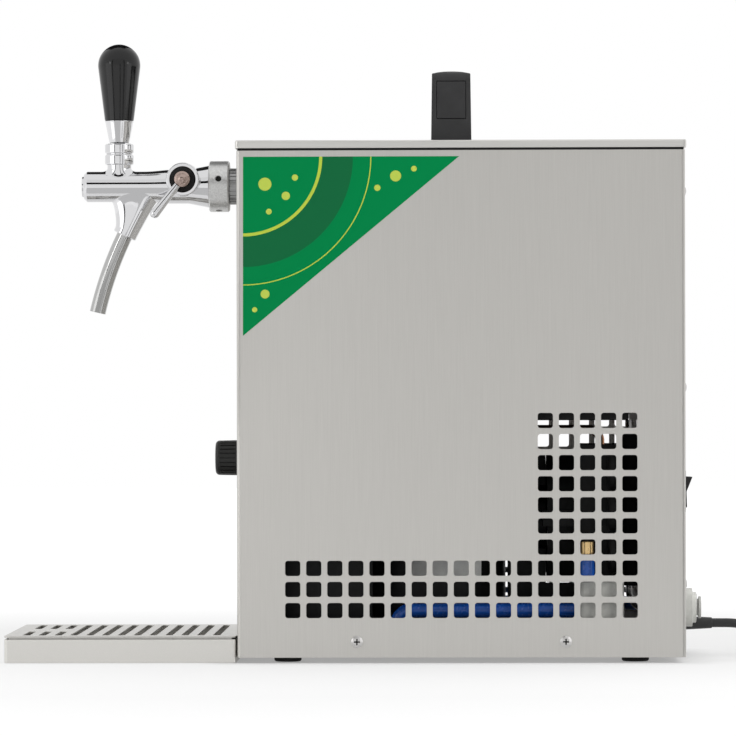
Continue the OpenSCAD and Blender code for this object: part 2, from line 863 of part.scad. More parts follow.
module base_plate() color(zinc) from_front() difference() {
    union() {
        block([-inner_w, inner_w], [base_u, case_d - fold_r], [foot_h, floor_z]);
        both_sides()
            block([inner_w - base_t, inner_w], [base_u, case_d - fold_r], [foot_h, foot_h + base_wall]);
        block([fold_r - half_w, half_w - fold_r], [base_u, rear_in_u], [foot_h, floor_z]);
        block(about(0, half_w - fold_r), span(rear_in_u, -base_t, 0), span(foot_h, 0, base_rear));
    }
    for (u = screw_us) rod_x(u, screw_z, screw_d + 2 * slip_gap, [-half_w, half_w]);
}

module rubber_feet() color(rubber) from_front()
    for (s = [-1, 1], u = [foot_inset, case_d - foot_inset])
        turned_z(s * (half_w - foot_side), u, [
            [0, 0], [foot_d / 2 - foot_chamfer, 0], [foot_d / 2, foot_chamfer], [foot_d / 2, foot_h],
            [0, foot_h]
        ]);

// Plan of a sheet folded back along both sides, open towards the rear
module front_plan(w, d, r) {
    translate([-w, r]) square([2 * w, d - r]);
    translate([r - w, 0]) square([2 * (w - r), d]);
    for (s = [-1, 1]) translate([s * (w - r), r]) circle(r);
}

module front_panel() color(steel) from_front() difference() {
    union() {
        translate([0, 0, foot_h]) linear_extrude(panel_top - foot_h) difference() {
            front_plan(inner_w, front_fold, fold_r);
            translate([0, sheet]) front_plan(inner_w - sheet, front_fold, fold_r - sheet);
        }
        block([fold_r - inner_w, inner_w - fold_r], [sheet / 2, front_fold], [foot_h, foot_h + sheet]);
    }
    rod_y(0, tap_z, shank_d + 2 * hole_gap, [-over, sheet + over]);
    rod_y(0, dial_z, bush_d + 2 * hole_gap, [-over, sheet + over]);
}

// Square vent hole with its corners rounded in short straight steps
module vent_hole() polygon([
    for (q = [0 : 3], i = [0 : corner_steps])
        let (a = 90 * (q + i / corner_steps), s = vent / 2 - vent_r)
            [s * sign(cos(90 * q + 45)), s * sign(sin(90 * q + 45))] + vent_r * [cos(a), sin(a)]
]);

// Low band of vents with the taller block at its rear end
module side_vents()
    for (c = [0 : vent_cols - 1], r = [0 : block_rows - 1])
        if (r < vent_rows || c >= vent_cols - block_cols)
            translate([band_u + c * vent_pitch, row_z + r * vent_pitch]) vent_hole();

// Plan of the fold at the rear edge of a side panel
module rear_fold() {
    translate([half_w - fold_r, case_d - fold_r]) intersection() {
        difference() {
            circle(fold_r);
            circle(fold_r - sheet);
        }
        square(fold_r);
    }
    translate([half_w - fold_w, rear_u]) square([fold_w - fold_r, sheet]);
}

module side_panel() difference() {
    union() {
        extrude_x([inner_w, half_w]) difference() {
            translate([front_seam, foot_h])
                square([case_d - fold_r - front_seam, panel_top - foot_h]);
            side_vents();
        }
        translate([0, 0, foot_h]) linear_extrude(panel_top - foot_h) rear_fold();
        block([half_w - fold_w, inner_w], [base_u, rear_in_u - hole_gap], [panel_top - sheet, panel_top]);
    }
    for (u = screw_us) rod_x(u, screw_z, screw_d + 2 * hole_gap, [inner_w - over, half_w + over]);
}

module right_side_panel() color(steel) from_front() side_panel();

module left_side_panel() color(steel) from_front() mirror([1, 0, 0]) side_panel();

module rear_panel() color(steel) from_front() extrude_y([rear_in_u, rear_u]) difference() {
    translate([fold_r - half_w, foot_h]) square([case_w - 2 * fold_r, panel_top - foot_h]);
    for (c = [0 : rear_cols - 1], r = [vent_rows : block_rows - 1])
        translate([rear_vent_x + (c - (rear_cols - 1) / 2) * vent_pitch, row_z + r * vent_pitch])
            vent_hole();
    translate([switch_x, switch_z]) square([switch_w, switch_h] + 2 * hole_gap * [1, 1], center = true);
    translate([inlet_x, inlet_z]) circle(d = thread_of(inlet_tube) + 2 * hole_gap);
    translate([outlet_x, outlet_z]) circle(d = thread_of(outlet_tube) + 2 * hole_gap);
    translate([cord_x, cord_z]) circle(d = relief_neck + 2 * slip_gap);
}

module lid() color(pale_steel) from_front() {
    w = case_w + 2 * lid_over;
    d = case_d + 2 * lid_over;
    translate([0, case_d / 2, lid_z]) difference() {
        intersection() {
            linear_extrude(lid_h) round_rect(w, d, fold_r);
            extrude_x([-w, w]) round_top(d, lid_h, fold_r / 2);
            extrude_y([-d, d]) round_top(w, lid_h, fold_r / 2);
        }
        translate([0, 0, sheet]) linear_extrude(lid_h - 2 * sheet)
            round_rect(w - 2 * sheet, d - 2 * sheet, fold_r - sheet);
        translate([0, 0, -over]) linear_extrude(sheet + 2 * over)
            square([w - 2 * fold_w, d - 2 * fold_w], center = true);
    }
}

module lid_gasket() color(rubber) from_front()
    translate([0, case_d / 2, panel_top]) linear_extrude(gasket_t) difference() {
        square([case_w - 2 * sheet, case_d - 2 * sheet], center = true);
        square([case_w - 2 * (sheet + gasket_w), case_d - 2 * (sheet + gasket_w)], center = true);
    }

module panel_screws() color(satin) from_front() both_sides()
    for (u = screw_us) difference() {
        union() {
            rod_x(u, screw_z, screw_d, [half_w - screw_l, half_w]);
            turned_x(u, screw_z, [
                [0, half_w], [screw_head_d / 2, half_w], [screw_head_d / 2, half_w + screw_head_h / 2],
                [screw_head_d / 4, half_w + screw_head_h], [0, half_w + screw_head_h]
            ]);
        }
        for (a = [0, 90]) translate([half_w + screw_head_h, u, screw_z]) rotate([a, 0, 0])
            cube([2 * screw_slot[2], screw_slot[0], screw_slot[1]], center = true);
    }

// Carry handle

// Front outline of the handle: a bridge with a rounded finger gap
module handle_front() difference() {
    round_top(handle_l, handle_h, handle_corner);
    translate([0, -over]) round_top(grip_l, grip_h + over, grip_corner);
}

// Cross-section of the handle with its arched top
module handle_section() intersection() {
    polygon([
        [-handle_w / 2, 0], [handle_w / 2, 0], [handle_top_w / 2, handle_h], [-handle_top_w / 2, handle_h]
    ]);
    translate([0, handle_h - handle_arch_r]) circle(handle_arch_r);
}

module carry_handle() color(black) from_front() translate([0, handle_u, case_h]) difference() {
    intersection() {
        extrude_y([-handle_w, handle_w]) handle_front();
        extrude_x([-handle_l, handle_l]) handle_section();
    }
    both_sides()
        block([handle_l / 2 - cap_t, handle_l / 2 + over], [-cap_w / 2 - hole_gap, cap_w / 2 + hole_gap],
            [cap_z - hole_gap, cap_z + cap_h + hole_gap]);
}

module handle_caps() color(black) from_front() translate([0, handle_u, case_h]) both_sides()
    block([handle_l / 2 - cap_t, handle_l / 2], [-cap_w / 2, cap_w / 2], [cap_z, cap_z + cap_h]);

// Drip tray

module drip_pan() color(pale_steel) from_front() translate([0, tray_u, 0]) difference() {
    linear_extrude(pan_h) round_rect(tray_w, tray_l, tray_corner);
    translate([0, 0, tray_t]) linear_extrude(pan_h)
        round_rect(tray_w - 2 * tray_t, tray_l - 2 * tray_t, tray_corner - tray_t);
}

// Straight slot with round ends from x0 to x1
module slot(x0, x1) {
    translate([x0, -slot_w / 2]) square([x1 - x0, slot_w]);
    translate([x0, 0]) circle(d = slot_w);
    translate([x1, 0]) circle(d = slot_w);
}

module grid_slots() {
    reach = tray_w / 2 - slot_margin - slot_w / 2;
    for (i = [0 : slot_count - 1]) translate([0, (i - (slot_count - 1) / 2) * slot_pitch])
        if (i < split_count) {
            slot(-reach, -(split_gap + slot_w) / 2);
            slot((split_gap + slot_w) / 2, reach);
        } else {
            slot(-reach, reach);
        }
}

module drip_grid() color(pale_steel) from_front() translate([0, tray_u, 0]) {
    skirt = tray_t + skirt_gap;
    translate([0, 0, tray_h - tray_t]) linear_extrude(tray_t) difference() {
        round_rect(tray_w, tray_l, tray_corner);
        grid_slots();
    }
    translate([0, 0, tray_t]) linear_extrude(tray_h - 2 * tray_t) difference() {
        round_rect(tray_w - 2 * skirt, tray_l - 2 * skirt, tray_t);
        square([tray_w - 2 * (skirt + tray_t), tray_l - 2 * (skirt + tray_t)], center = true);
    }
}

// Tap

module tap_shank() color(chrome) from_front() difference() {
    turned_y(0, tap_z, [
        [shank_bore / 2, -shank_front], [thread_d / 2, -shank_front],
        [thread_d / 2, shank_head_l - shank_front], [shank_neck_d / 2, shank_head_l - shank_front],
        [shank_neck_d / 2, -collar_l], [collar_d / 2, -collar_l], [collar_d / 2, 0], [shank_d / 2, 0],
        [shank_d / 2, shank_l], [shank_bore / 2, shank_l]
    ]);
    for (i = [0 : serrations - 1]) translate([0, -collar_l / 2, tap_z]) rotate([0, 360 * i / serrations, 0])
        translate([collar_d / 2, 0, 0]) cube([serration_w, collar_l + over, serration_w], center = true);
}

module shank_backnut() color(satin) from_front() difference() {
    rod_y(0, tap_z, backnut_w / cos(30), [sheet, sheet + backnut_t], $fn = 6);
    rod_y(0, tap_z, shank_d + 2 * slip_gap, [sheet - over, sheet + backnut_t + over]);
}

module union_nut() color(satin) from_front() difference() {
    turned_y(0, tap_z, [
        [thread_d / 2 + slip_gap, -nut_front], [nut_d / 2 - nut_chamfer, -nut_front],
        [nut_d / 2, nut_chamfer - nut_front], [nut_d / 2, -nut_rear - nut_chamfer],
        [nut_d / 2 - nut_chamfer, -nut_rear], [shank_neck_d / 2 + slip_gap, -nut_rear],
        [shank_neck_d / 2 + slip_gap, -nut_rear - nut_lip], [thread_d / 2 + slip_gap, -nut_rear - nut_lip]
    ]);
    for (a = [0 : 90 : 270])
        translate([0, -(nut_front + nut_rear) / 2, tap_z]) rotate([0, a - spanner_turn, 0])
            translate([nut_d / 2 - spanner_depth, 0, 0]) rotate([0, 90, 0])
                cylinder(d = spanner_d, h = nut_d);
}

// Place and middle of the hollow curve between the spout branch and the barrel
function blend_off(r) = socket_d / 2 - blend_sink + r;
function blend_down(s, r) =
    (barrel_d / 2 - blend_sink + r + s * blend_off(r) * sin(spout_lean)) / cos(spout_lean);
function blend_mid(s, r) = branch_root + blend_down(s, r) * branch_run + s * blend_off(r) * branch_side;

// Web that blends the spout branch into the barrel, hollowed in front and behind
module spout_blend() difference() {
    front = blend_mid(1, blend_front_r);
    rear = blend_mid(-1, blend_rear_r);
    polygon([
        [front.x, tap_z], front, branch_root + blend_down(1, blend_front_r) * branch_run,
        branch_root + blend_down(-1, blend_rear_r) * branch_run, rear, [rear.x, tap_z]
    ]);
    translate(front) circle(blend_front_r);
    translate(rear) circle(blend_rear_r);
}

module tap_body() color(chrome) from_front() difference() {
    union() {
        turned_y(0, tap_z, [
            [0, -tap_reach], [nose_step[1], -tap_reach], [nose_step[1], nose_step[0] - tap_reach],
            [nose_cone[1], nose_step[0] - tap_reach], [barrel_d / 2, nose_cone[0] - tap_reach],
            [barrel_d / 2, -seat_u - seat_cone], [chamber_d / 2, seat_cone - seat_u],
            [chamber_d / 2, boss_step - comp_u],
            [flare_d / 2, -tail_front], [thread_d / 2, -tail_front], [thread_d / 2, -shank_front - slip_gap],
            [0, -shank_front - slip_gap]
        ]);
        rod_z(0, -lever_u, neck_d, [tap_z, neck_top]);
        translate([0, -lever_u, tap_z + (barrel_d - neck_flare[1]) / 2])
            cylinder(d1 = neck_d + 2 * neck_flare[0], d2 = neck_d, h = neck_flare[1]);
        along(spout_start, -spout_dir) cylinder(d = socket_d, h = spout_drop / cos(spout_lean));
        extrude_x([-blend_w / 2, blend_w / 2]) spout_blend();
        rod_x(-comp_u, comp_z, boss_d, [0, boss_reach]);
    }
    rod_y(0, tap_z, valve_bore, [-bore_front, over - seat_u]);
    rod_y(0, tap_z, chamber_bore, [-seat_u, over - shank_front]);
    rod_z(0, -lever_u, neck_bore, [tap_z + lever_slot[2], neck_top + over]);
    block(about(0, lever_slot[0]), about(-lever_u, lever_slot[1]), span(tap_z, 0, lever_slot[2]));
    along(spout_start + spout_dir * over, -spout_dir)
        cylinder(d = spout_d + 2 * slip_gap, h = socket_depth + over);
    along(spout_start, -spout_dir) cylinder(d = spout_bore, h = spout_drop / cos(spout_lean));
    rod_x(-comp_u, comp_z, spindle_d + 2 * run_gap, [0, boss_reach + over]);
    rod_x(-comp_u, comp_z, gland_d + 2 * slip_gap, [boss_reach - gland_t * 2 / 3, boss_reach + over]);
}

module tap_spout() color(chrome) from_front() {
    root = spout_start - spout_dir * (socket_depth - slip_gap);
    pipe([root, spout_corner, spout_tip], spout_d, spout_curve, spout_bore);
}

// Tap lever

module lever_bonnet() color(chrome) from_front() {
    turned_z(0, -lever_u, [
        [bonnet_hole / 2, neck_top], [bonnet_d / 2 - bonnet_chamfer, neck_top],
        [bonnet_d / 2, neck_top + bonnet_chamfer], [bonnet_d / 2, bonnet_mid - bonnet_groove / 2],
        [bonnet_d / 2 - groove_depth, bonnet_mid - bonnet_groove / 2],
        [bonnet_d / 2 - groove_depth, bonnet_mid + bonnet_groove / 2],
        [bonnet_d / 2, bonnet_mid + bonnet_groove / 2], [bonnet_d / 2, bonnet_top],
        [bonnet_d / 2 - bonnet_wall, bonnet_top], [ball_d / 2 + 2 * run_gap, pivot_z + run_gap],
        [ball_d / 2 + run_gap, pivot_z], [ball_d / 2 + run_gap, neck_top + bonnet_floor],
        [bonnet_hole / 2, neck_top + bonnet_floor]
    ]);
    rod_x(-lever_u, pivot_z, cross_d, about(0, bonnet_d / 2 - cross_in));
}

module lever_stem() color(chrome) from_front() difference() {
    union() {
        translate([0, -lever_u, pivot_z]) sphere(d = ball_d);
        rod_z(0, -lever_u, pin_d, [tap_z, pivot_z]);
        translate([0, -lever_u, tap_z]) sphere(d = pin_ball_d);
        rod_z(0, -lever_u, stud_d, [pivot_z, knob_z + stud_l]);
    }
    rod_x(-lever_u, pivot_z, cross_d + 2 * run_gap, about(0, ball_d));
}

module lever_ferrule() color(chrome) from_front() difference() {
    translate([0, -lever_u, ferrule_z]) cylinder(d1 = ferrule_low_d, d2 = ferrule_top_d, h = ferrule_l);
    rod_z(0, -lever_u, stud_d + 2 * slip_gap, [ferrule_z - over, knob_z + over]);
    translate([0, -lever_u, pivot_z]) sphere(d = ball_d + 2 * slip_gap);
}

// Half outline of the knob: a ball with a tangent cone below it
module knob_half() {
    r = knob_d / 2;
    rise = knob_ball_z - knob_rim_z;
    lean = atan2(rise, knob_low_d / 2) - acos(r / norm([rise, knob_low_d / 2]));
    intersection() {
        union() {
            translate([0, knob_ball_z]) circle(r);
            polygon([
                [0, knob_z], [knob_low_d / 2 - knob_rim[0], knob_z], [knob_low_d / 2, knob_rim_z],
                [r * cos(lean), knob_ball_z - r * sin(lean)], [0, knob_ball_z]
            ]);
        }
        translate([0, knob_z]) square([r + over, knob_l]);
    }
}

module lever_knob() color(black) from_front() difference() {
    translate([0, -lever_u, 0]) rotate_extrude() knob_half();
    rod_z(0, -lever_u, stud_d + 2 * slip_gap, [knob_z - over, knob_z + stud_l + slip_gap]);
}

// Valve

module valve_piston() color(satin) from_front() difference() {
    turned_y(0, tap_z, [
        [0, -piston_front], [piston_d / 2, -piston_front], [piston_d / 2, -piston_rear],
        [stem_d / 2, -piston_rear],
        [stem_d / 2, seal_gap + seal_t - seat_u], [backing_d / 2, seal_gap + seal_t - seat_u],
        [backing_d / 2, seal_gap + 2 * seal_t - seat_u], [0, seal_gap + 2 * seal_t - seat_u]
    ]);
    extrude_x([-lever_slot[0], lever_slot[0]]) translate([-lever_u, tap_z]) polygon([
        [-pocket_half, -pin_ball_d / 2 - pocket_floor], [pocket_half, -pin_ball_d / 2 - pocket_floor],
        [pocket_half, pocket_neck], [pocket_half + pocket_flare, piston_d / 2],
        [pocket_half + pocket_flare, piston_d], [-pocket_half - pocket_flare, piston_d],
        [-pocket_half - pocket_flare, piston_d / 2], [-pocket_half, pocket_neck]
    ]);
}

module valve_seal() color(rubber) from_front() turned_y(0, tap_z, [
    [stem_d / 2 + slip_gap, seal_gap - seat_u], [seal_d / 2, seal_gap - seat_u],
    [seal_d / 2, seal_gap + seal_t - seat_u], [stem_d / 2 + slip_gap, seal_gap + seal_t - seat_u]
]);

// Compensator

module compensator_gland() color(rubber) from_front() difference() {
    rod_x(-comp_u, comp_z, gland_d, [boss_reach - gland_t * 2 / 3, boss_reach + gland_t / 3]);
    rod_x(-comp_u, comp_z, spindle_d + 2 * run_gap, [0, hub_x]);
}

module compensator_spindle() color(copper) from_front() {
    rod_x(-comp_u, comp_z, spindle_d, [spindle_end, hub_x]);
    turned_x(-comp_u, comp_z, [
        [0, hub_x], [hub_d / 2, hub_x], [hub_d / 2, hub_x + hub_l * 3 / 4], [hub_d / 3, hub_x + hub_l],
        [0, hub_x + hub_l]
    ]);
    rod_x(-comp_u, comp_z - crank_throw, crank_d, [crank_end, spindle_end]);
}

module compensator_lever() color(chrome) from_front() {
    dir = [0, -cos(comp_lean), -sin(comp_lean)];
    hub = [comp_lever_x, -comp_u, comp_z];
    rod = comp_lever_l - comp_tip_d / 2;
    difference() {
        along(hub, dir) rotate_extrude() intersection() {
            union() {
                polygon([[0, 0], [comp_root_d / 2, 0], [comp_tip_d / 2, rod], [0, rod]]);
                translate([0, rod]) circle(d = comp_tip_d);
            }
            square([comp_tip_d, comp_lever_l]);
        }
        rod_x(-comp_u, comp_z, hub_d + 2 * slip_gap, [0, hub_x + hub_l + over]);
    }
}

module compensator_cone() color(satin) from_front() difference() {
    turned_y(0, tap_z, [
        [0, -cone_front], [cone_front_d / 2, -cone_front], [cone_front_d / 2, -cone_full],
        [cone_d / 2, cone_step[1] - cone_full],
        [cone_tip_d / 2, -cone_rear], [0, -cone_rear]
    ]);
    block([cone_flat, chamber_d], [-cone_front - over, cone_step[0] - cone_full], about(tap_z, chamber_d));
    block([crank_end - run_gap, chamber_d], about(-comp_u, crank_d / 2 + run_gap), about(tap_z, chamber_d));
}

// Thermostat

module thermostat_body() color(zinc) from_front() difference() {
    union() {
        block(about(0, thermostat_w / 2), span(sheet, 0, thermostat_d), about(dial_z, thermostat_h / 2));
        rod_y(0, dial_z, bush_d, [-bush_l, sheet + over]);
    }
    rod_y(0, dial_z, dial_shaft_d + 2 * run_gap, [-bush_l - over, dial_shaft[1] + over]);
}

module thermostat_nut() color(satin) from_front() difference() {
    rod_y(0, dial_z, bush_nut_w / cos(30), [-bush_nut_t, 0], $fn = 6);
    rod_y(0, dial_z, bush_d + 2 * slip_gap, [-bush_nut_t - over, over]);
}

module thermostat_shaft() color(satin) from_front() rod_y(0, dial_z, dial_shaft_d, dial_shaft);

// Half outline of the thermostat knob with a rounded face edge
module dial_half() {
    len = dial_reach - dial_gap;
    translate([0, -dial_reach]) {
        square([dial_face_d / 2 - dial_round, len]);
        translate([dial_face_d / 2 - dial_round, dial_round]) intersection() {
            circle(dial_round);
            translate([0, -dial_round]) square(dial_round);
        }
        polygon([
            [0, dial_round], [dial_face_d / 2, dial_round],
            [dial_face_d / 2 + dial_skirt[2], len - dial_skirt[0]],
            [dial_d / 2, len - dial_skirt[1]], [dial_d / 2, len], [0, len]
        ]);
    }
}

module thermostat_knob() color(black) from_front() difference() {
    translate([0, 0, dial_z]) rotate([-90, 0, 0]) rotate_extrude() dial_half();
    rod_y(0, dial_z, dial_hollow[0], [-dial_hollow[1], 0]);
    rod_y(0, dial_z, dial_shaft_d + 2 * slip_gap, [dial_shaft[0], 0]);
    for (i = [0 : dial_grooves - 1]) translate([0, 0, dial_z]) rotate([0, 360 * i / dial_grooves, 0])
        block(
            [dial_face_d / 2 - dial_groove[1], dial_d],
            [dial_round + dial_groove_ends[0] - dial_reach, -dial_gap - dial_groove_ends[1]],
            [-dial_groove[0] / 2, dial_groove[0] / 2]
        );
    block(about(0, dial_groove[0]), span(-dial_reach, -over, dial_groove[0]),
        span(dial_z, dial_mark, dial_d));
}

// Rear fittings

module switch_frame() color(black) from_front() translate([switch_x, 0, switch_z]) difference() {
    union() {
        extrude_y([rear_u, rear_u + switch_flange])
            square([switch_w + 2 * switch_lip, switch_h + 2 * switch_lip], center = true);
        extrude_y([rear_in_u - switch_d, rear_u]) square([switch_w, switch_h], center = true);
    }
    extrude_y([switch_pivot_u - 2 * rocker_deep, rear_u + switch_flange + over])
        square([rocker_w + 2 * run_gap, rocker_len + 2 * rocker_room], center = true);
    rod_x(switch_pivot_u, 0, trunnion_d + 2 * run_gap, about(0, switch_w / 2 - switch_wall));
}

module switch_rocker() color(black) from_front() translate([switch_x, switch_pivot_u, switch_z]) {
    rotate([-rocker_tilt, 0, 0]) extrude_x([-rocker_w / 2, rocker_w / 2]) polygon([
        [-rocker_deep, rocker_taper - rocker_len / 2], [rocker_rise, -rocker_len / 2], [rocker_dip, 0],
        [rocker_rise, rocker_len / 2], [-rocker_deep, rocker_len / 2 - rocker_taper]
    ]);
    rod_x(0, 0, trunnion_d, about(0, switch_w / 2 - switch_wall - run_gap));
}

// A push fitting for a tube of diameter t: its thread and the bore for its collet
function collet_of(t) = t + 2 * (tube_gap + collet_wall);
function fitting_bore(t) = collet_of(t) + 2 * run_gap;
function thread_of(t) = fitting_bore(t) + 2 * fitting_wall;

module fitting_body(x, z, t, flange) difference() {
    nose = rear_u + fitting_flange + fitting_nose;
    union() {
        rod_y(x, z, thread_of(t), [rear_u - sheet - fitting_thread, rear_u + over]);
        rod_y(x, z, flange, [rear_u, rear_u + fitting_flange]);
        rod_y(x, z, flange - 2 * fitting_shoulder, [rear_u, nose]);
    }
    rod_y(x, z, fitting_bore(t), [nose - collet_sleeve - collet_room, nose + over]);
    rod_y(x, z, t + 4 * tube_gap, [nose - collet_sleeve - collet_room - fitting_bore_stop, nose]);
    rod_y(x, z, t - 2 * fitting_duct, [rear_u - sheet - fitting_thread - over, nose]);
}

module fitting_collet(x, z, t) {
    nose = rear_u + fitting_flange + fitting_nose;
    turned_y(x, z, [
        [t / 2 + tube_gap, nose - collet_sleeve], [collet_of(t) / 2, nose - collet_sleeve],
        [collet_of(t) / 2, nose + collet_gap], [collet_of(t) / 2 + collet_rim, nose + collet_gap],
        [collet_of(t) / 2 + collet_rim, nose + collet_gap + collet_lip],
        [t / 2 + tube_gap, nose + collet_gap + collet_lip]
    ]);
}

module beer_inlet_body() color(grey_plastic) from_front()
    fitting_body(inlet_x, inlet_z, inlet_tube, inlet_flange);

module beer_inlet_collet() color(grey_plastic) from_front() fitting_collet(inlet_x, inlet_z, inlet_tube);

module air_outlet_body() color(grey_plastic) from_front()
    fitting_body(outlet_x, outlet_z, outlet_tube, outlet_flange);

module air_outlet_collet() color(grey_plastic) from_front() fitting_collet(outlet_x, outlet_z, outlet_tube);

module fitting_nuts() color(grey_plastic) from_front()
    for (f = [[inlet_x, inlet_z, inlet_tube], [outlet_x, outlet_z, outlet_tube]]) difference() {
        rod_y(f[0], f[1], thread_of(f[2]) + 2 * hex_wall, [rear_in_u - fitting_nut, rear_in_u], $fn = 6);
        rod_y(f[0], f[1], thread_of(f[2]) + 2 * slip_gap, [rear_in_u - fitting_nut - over, rear_in_u + over]);
    }

// Mains lead

module strain_relief() color(rubber) from_front() turned_y(cord_x, cord_z, [
    [0, rear_in_u - relief_in], [relief_neck / 2 + relief_catch, rear_in_u - relief_in],
    [relief_neck / 2 + relief_catch, rear_in_u],
    [relief_neck / 2, rear_in_u], [relief_neck / 2, rear_u], [relief_flange_d / 2, rear_u],
    [relief_flange_d / 2, rear_u + relief_flange_t], [relief_d / 2, rear_u + relief_flange_t],
    [cord_d / 2 + relief_wall, relief_end], [0, relief_end]
]);

module power_cord() color(rubber) from_front() {
    tube(lead_path, cord_d, lead_sides);
    tube(tail_path, cord_d, lead_sides);
}

// The coil winds inwards on the floor, climbs in half a turn and winds out again above
function coil_radius(t) = t < coil_wind ? coil_out_r - coil_step * t
    : t < coil_wind + 0.5 ? coil_r : coil_r + coil_step * (t - coil_wind - 0.5);
function coil_climb(t) = min(1, max(0, 2 * (t - coil_wind)));
function coil_point(t) = [
    coil_mid.x + coil_radius(t) * cos(360 * t), coil_mid.y + coil_radius(t) * sin(360 * t),
    coil_z + coil_rise * coil_climb(t)
];
coil_rings = [for (i = [0 : coil_turns * loop_rings]) coil_point(i / loop_rings)];
coil_path = concat([lead_end], coil_rings, [coil_end]);
coil_gap = min([
    for (i = [0 : len(coil_rings) - 1], j = [i + loop_rings / 2 : 1 : len(coil_rings) - 1])
        norm(coil_rings[i] - coil_rings[j])
]) - cord_d;

module cord_coil() color(rubber) from_front() {
    echo(coil_gap = coil_gap);
    tube(coil_path, cord_d, coil_sides);
}

module cord_tie() color(black) from_front() {
    near_r = coil_r + coil_step * (coil_wind % 1 - 0.5) - cord_d / 2 - tie_room[0];
    far_r = coil_out_r - coil_step / 2 + cord_d / 2 + tie_room[0];
    x = [coil_mid.x - far_r, coil_mid.x - near_r];
    u = about(coil_mid.y, tie_w / 2);
    z = [tie_t, coil_z + coil_rise + cord_d / 2 + tie_room[1]];
    difference() {
        block(x + tie_t * [-1, 1], u, z + tie_t * [-1, 1]);
        block(x, u + over * [-1, 1], z);
    }
}

module plug_body() color(rubber) from_front() difference() {
    rim = plug_start.y + plug_l - plug_rim;
    turned_y(plug_start.x, plug_start.z, [
        [0, plug_start.y], [plug_boot[0] / 2, plug_start.y], [plug_boot[1] / 2, plug_start.y + plug_boot[2]],
        [plug_grip[0] / 2, plug_start.y + plug_boot[2] + plug_steps[0]], [plug_grip[1] / 2, rim],
        [plug_d / 2, rim + plug_steps[1]], [plug_d / 2, rim + plug_rim], [0, rim + plug_rim]
    ]);
    for (s = [-1, 1])
        block(
            about(plug_start.x + s * plug_d / 2, plug_notch[1]),
            span(plug_start.y + plug_l, -plug_rim - over, over),
            about(plug_start.z, plug_notch[0] / 2)
        );
}

module plug_pins() color(satin) from_front() for (s = [-1, 1]) {
    tip = plug_start.y + plug_l + plug_pin_l;
    turned_y(plug_start.x + s * plug_pin_gap / 2, plug_start.z, [
        [0, tip - plug_pin_l], [plug_pin_d / 2, tip - plug_pin_l], [plug_pin_d / 2, tip - pin_point],
        [plug_pin_d / 4, tip], [0, tip]
    ]);
}

// Cooling unit

module compressor_shell() color(black) from_front() translate([comp_x, comp_mid_u, shell_z]) {
    rotate_extrude() {
        square([comp_shell_r - comp_round, comp_shell_h]);
        translate([0, comp_round]) square([comp_shell_r, comp_shell_h - 2 * comp_round]);
        for (z = [comp_round, comp_shell_h - comp_round])
            translate([comp_shell_r - comp_round, z]) circle(comp_round);
    }
    translate([0, 0, comp_shell_h / 2]) cylinder(r = shell_out_r, h = shell_seam[1]);
}

module compressor_bracket() color(black) from_front()
    translate([comp_x, comp_mid_u, bracket_z]) linear_extrude(bracket_t)
        round_rect(bracket_l, bracket_w, mount_d / 2);

module compressor_mounts() color(rubber) from_front()
    for (sx = [-1, 1], su = [-1, 1]) {
        x = comp_x + sx * (bracket_l - mount_d) / 2;
        u = comp_mid_u + su * (bracket_w - mount_d) / 2;
        turned_z(x, u, [
            [0, floor_z], [mount_d / 2, floor_z], [mount_d / 2 - mount_waist, floor_z + mount_h / 2],
            [mount_d / 2, bracket_z], [0, bracket_z]
        ]);
    }

module terminal_box() color(black) from_front() difference() {
    block(about(comp_x, starter_w / 2), span(comp_mid_u, -comp_shell_r - starter_d, 0),
        span(starter_z, 0, starter_h));
    rod_z(comp_x, comp_mid_u, 2 * (comp_shell_r + slip_gap), [shell_z, shell_z + comp_shell_h]);
}

module condenser_fins() color(black) from_front() {
    block(about(0, condenser_x), condenser_u + fin_inset * [1, -1],
        span(condenser_z, fin_inset, condenser_h - fin_inset));
    for (i = [0 : fin_count - 1]) {
        x = -condenser_x + i * (condenser_w - fin_t) / (fin_count - 1);
        block([x, x + fin_t], condenser_u, span(condenser_z, 0, condenser_h));
    }
}

// Return bends of the condenser tube on both of its ends
module condenser_tubes() color(black) from_front() both_sides()
    for (i = [0 : bend_count - 1]) {
        rise = (i - (bend_count - 1) / 2) * (bend_pitch + tube_d);
        translate([condenser_x, bend_u, condenser_z + condenser_h / 2 + rise]) rotate([90, 0, 0])
            rotate([0, 0, -90]) rotate_extrude(angle = 180) translate([bend_pitch / 2, 0]) circle(d = tube_d);
    }

module fan_shroud() color(black) from_front() difference() {
    union() {
        block([-condenser_x, condenser_x], [shroud_u, condenser_u[0]], span(condenser_z, 0, condenser_h));
        rod_y(0, fan_z, fan_d + 2 * ring_wall, [shroud_u - fan_ring, shroud_u]);
        both_sides() block(about(shroud_leg, arm[0]), [shroud_u, condenser_u[0]], [floor_z, condenser_z]);
    }
    rod_y(0, fan_z, fan_d, [shroud_u - fan_ring - over, shroud_u - ring_wall]);
    rod_y(0, fan_z, fan_d - 2 * fan_gap, [shroud_u - fan_ring, condenser_u[0] + over]);
}

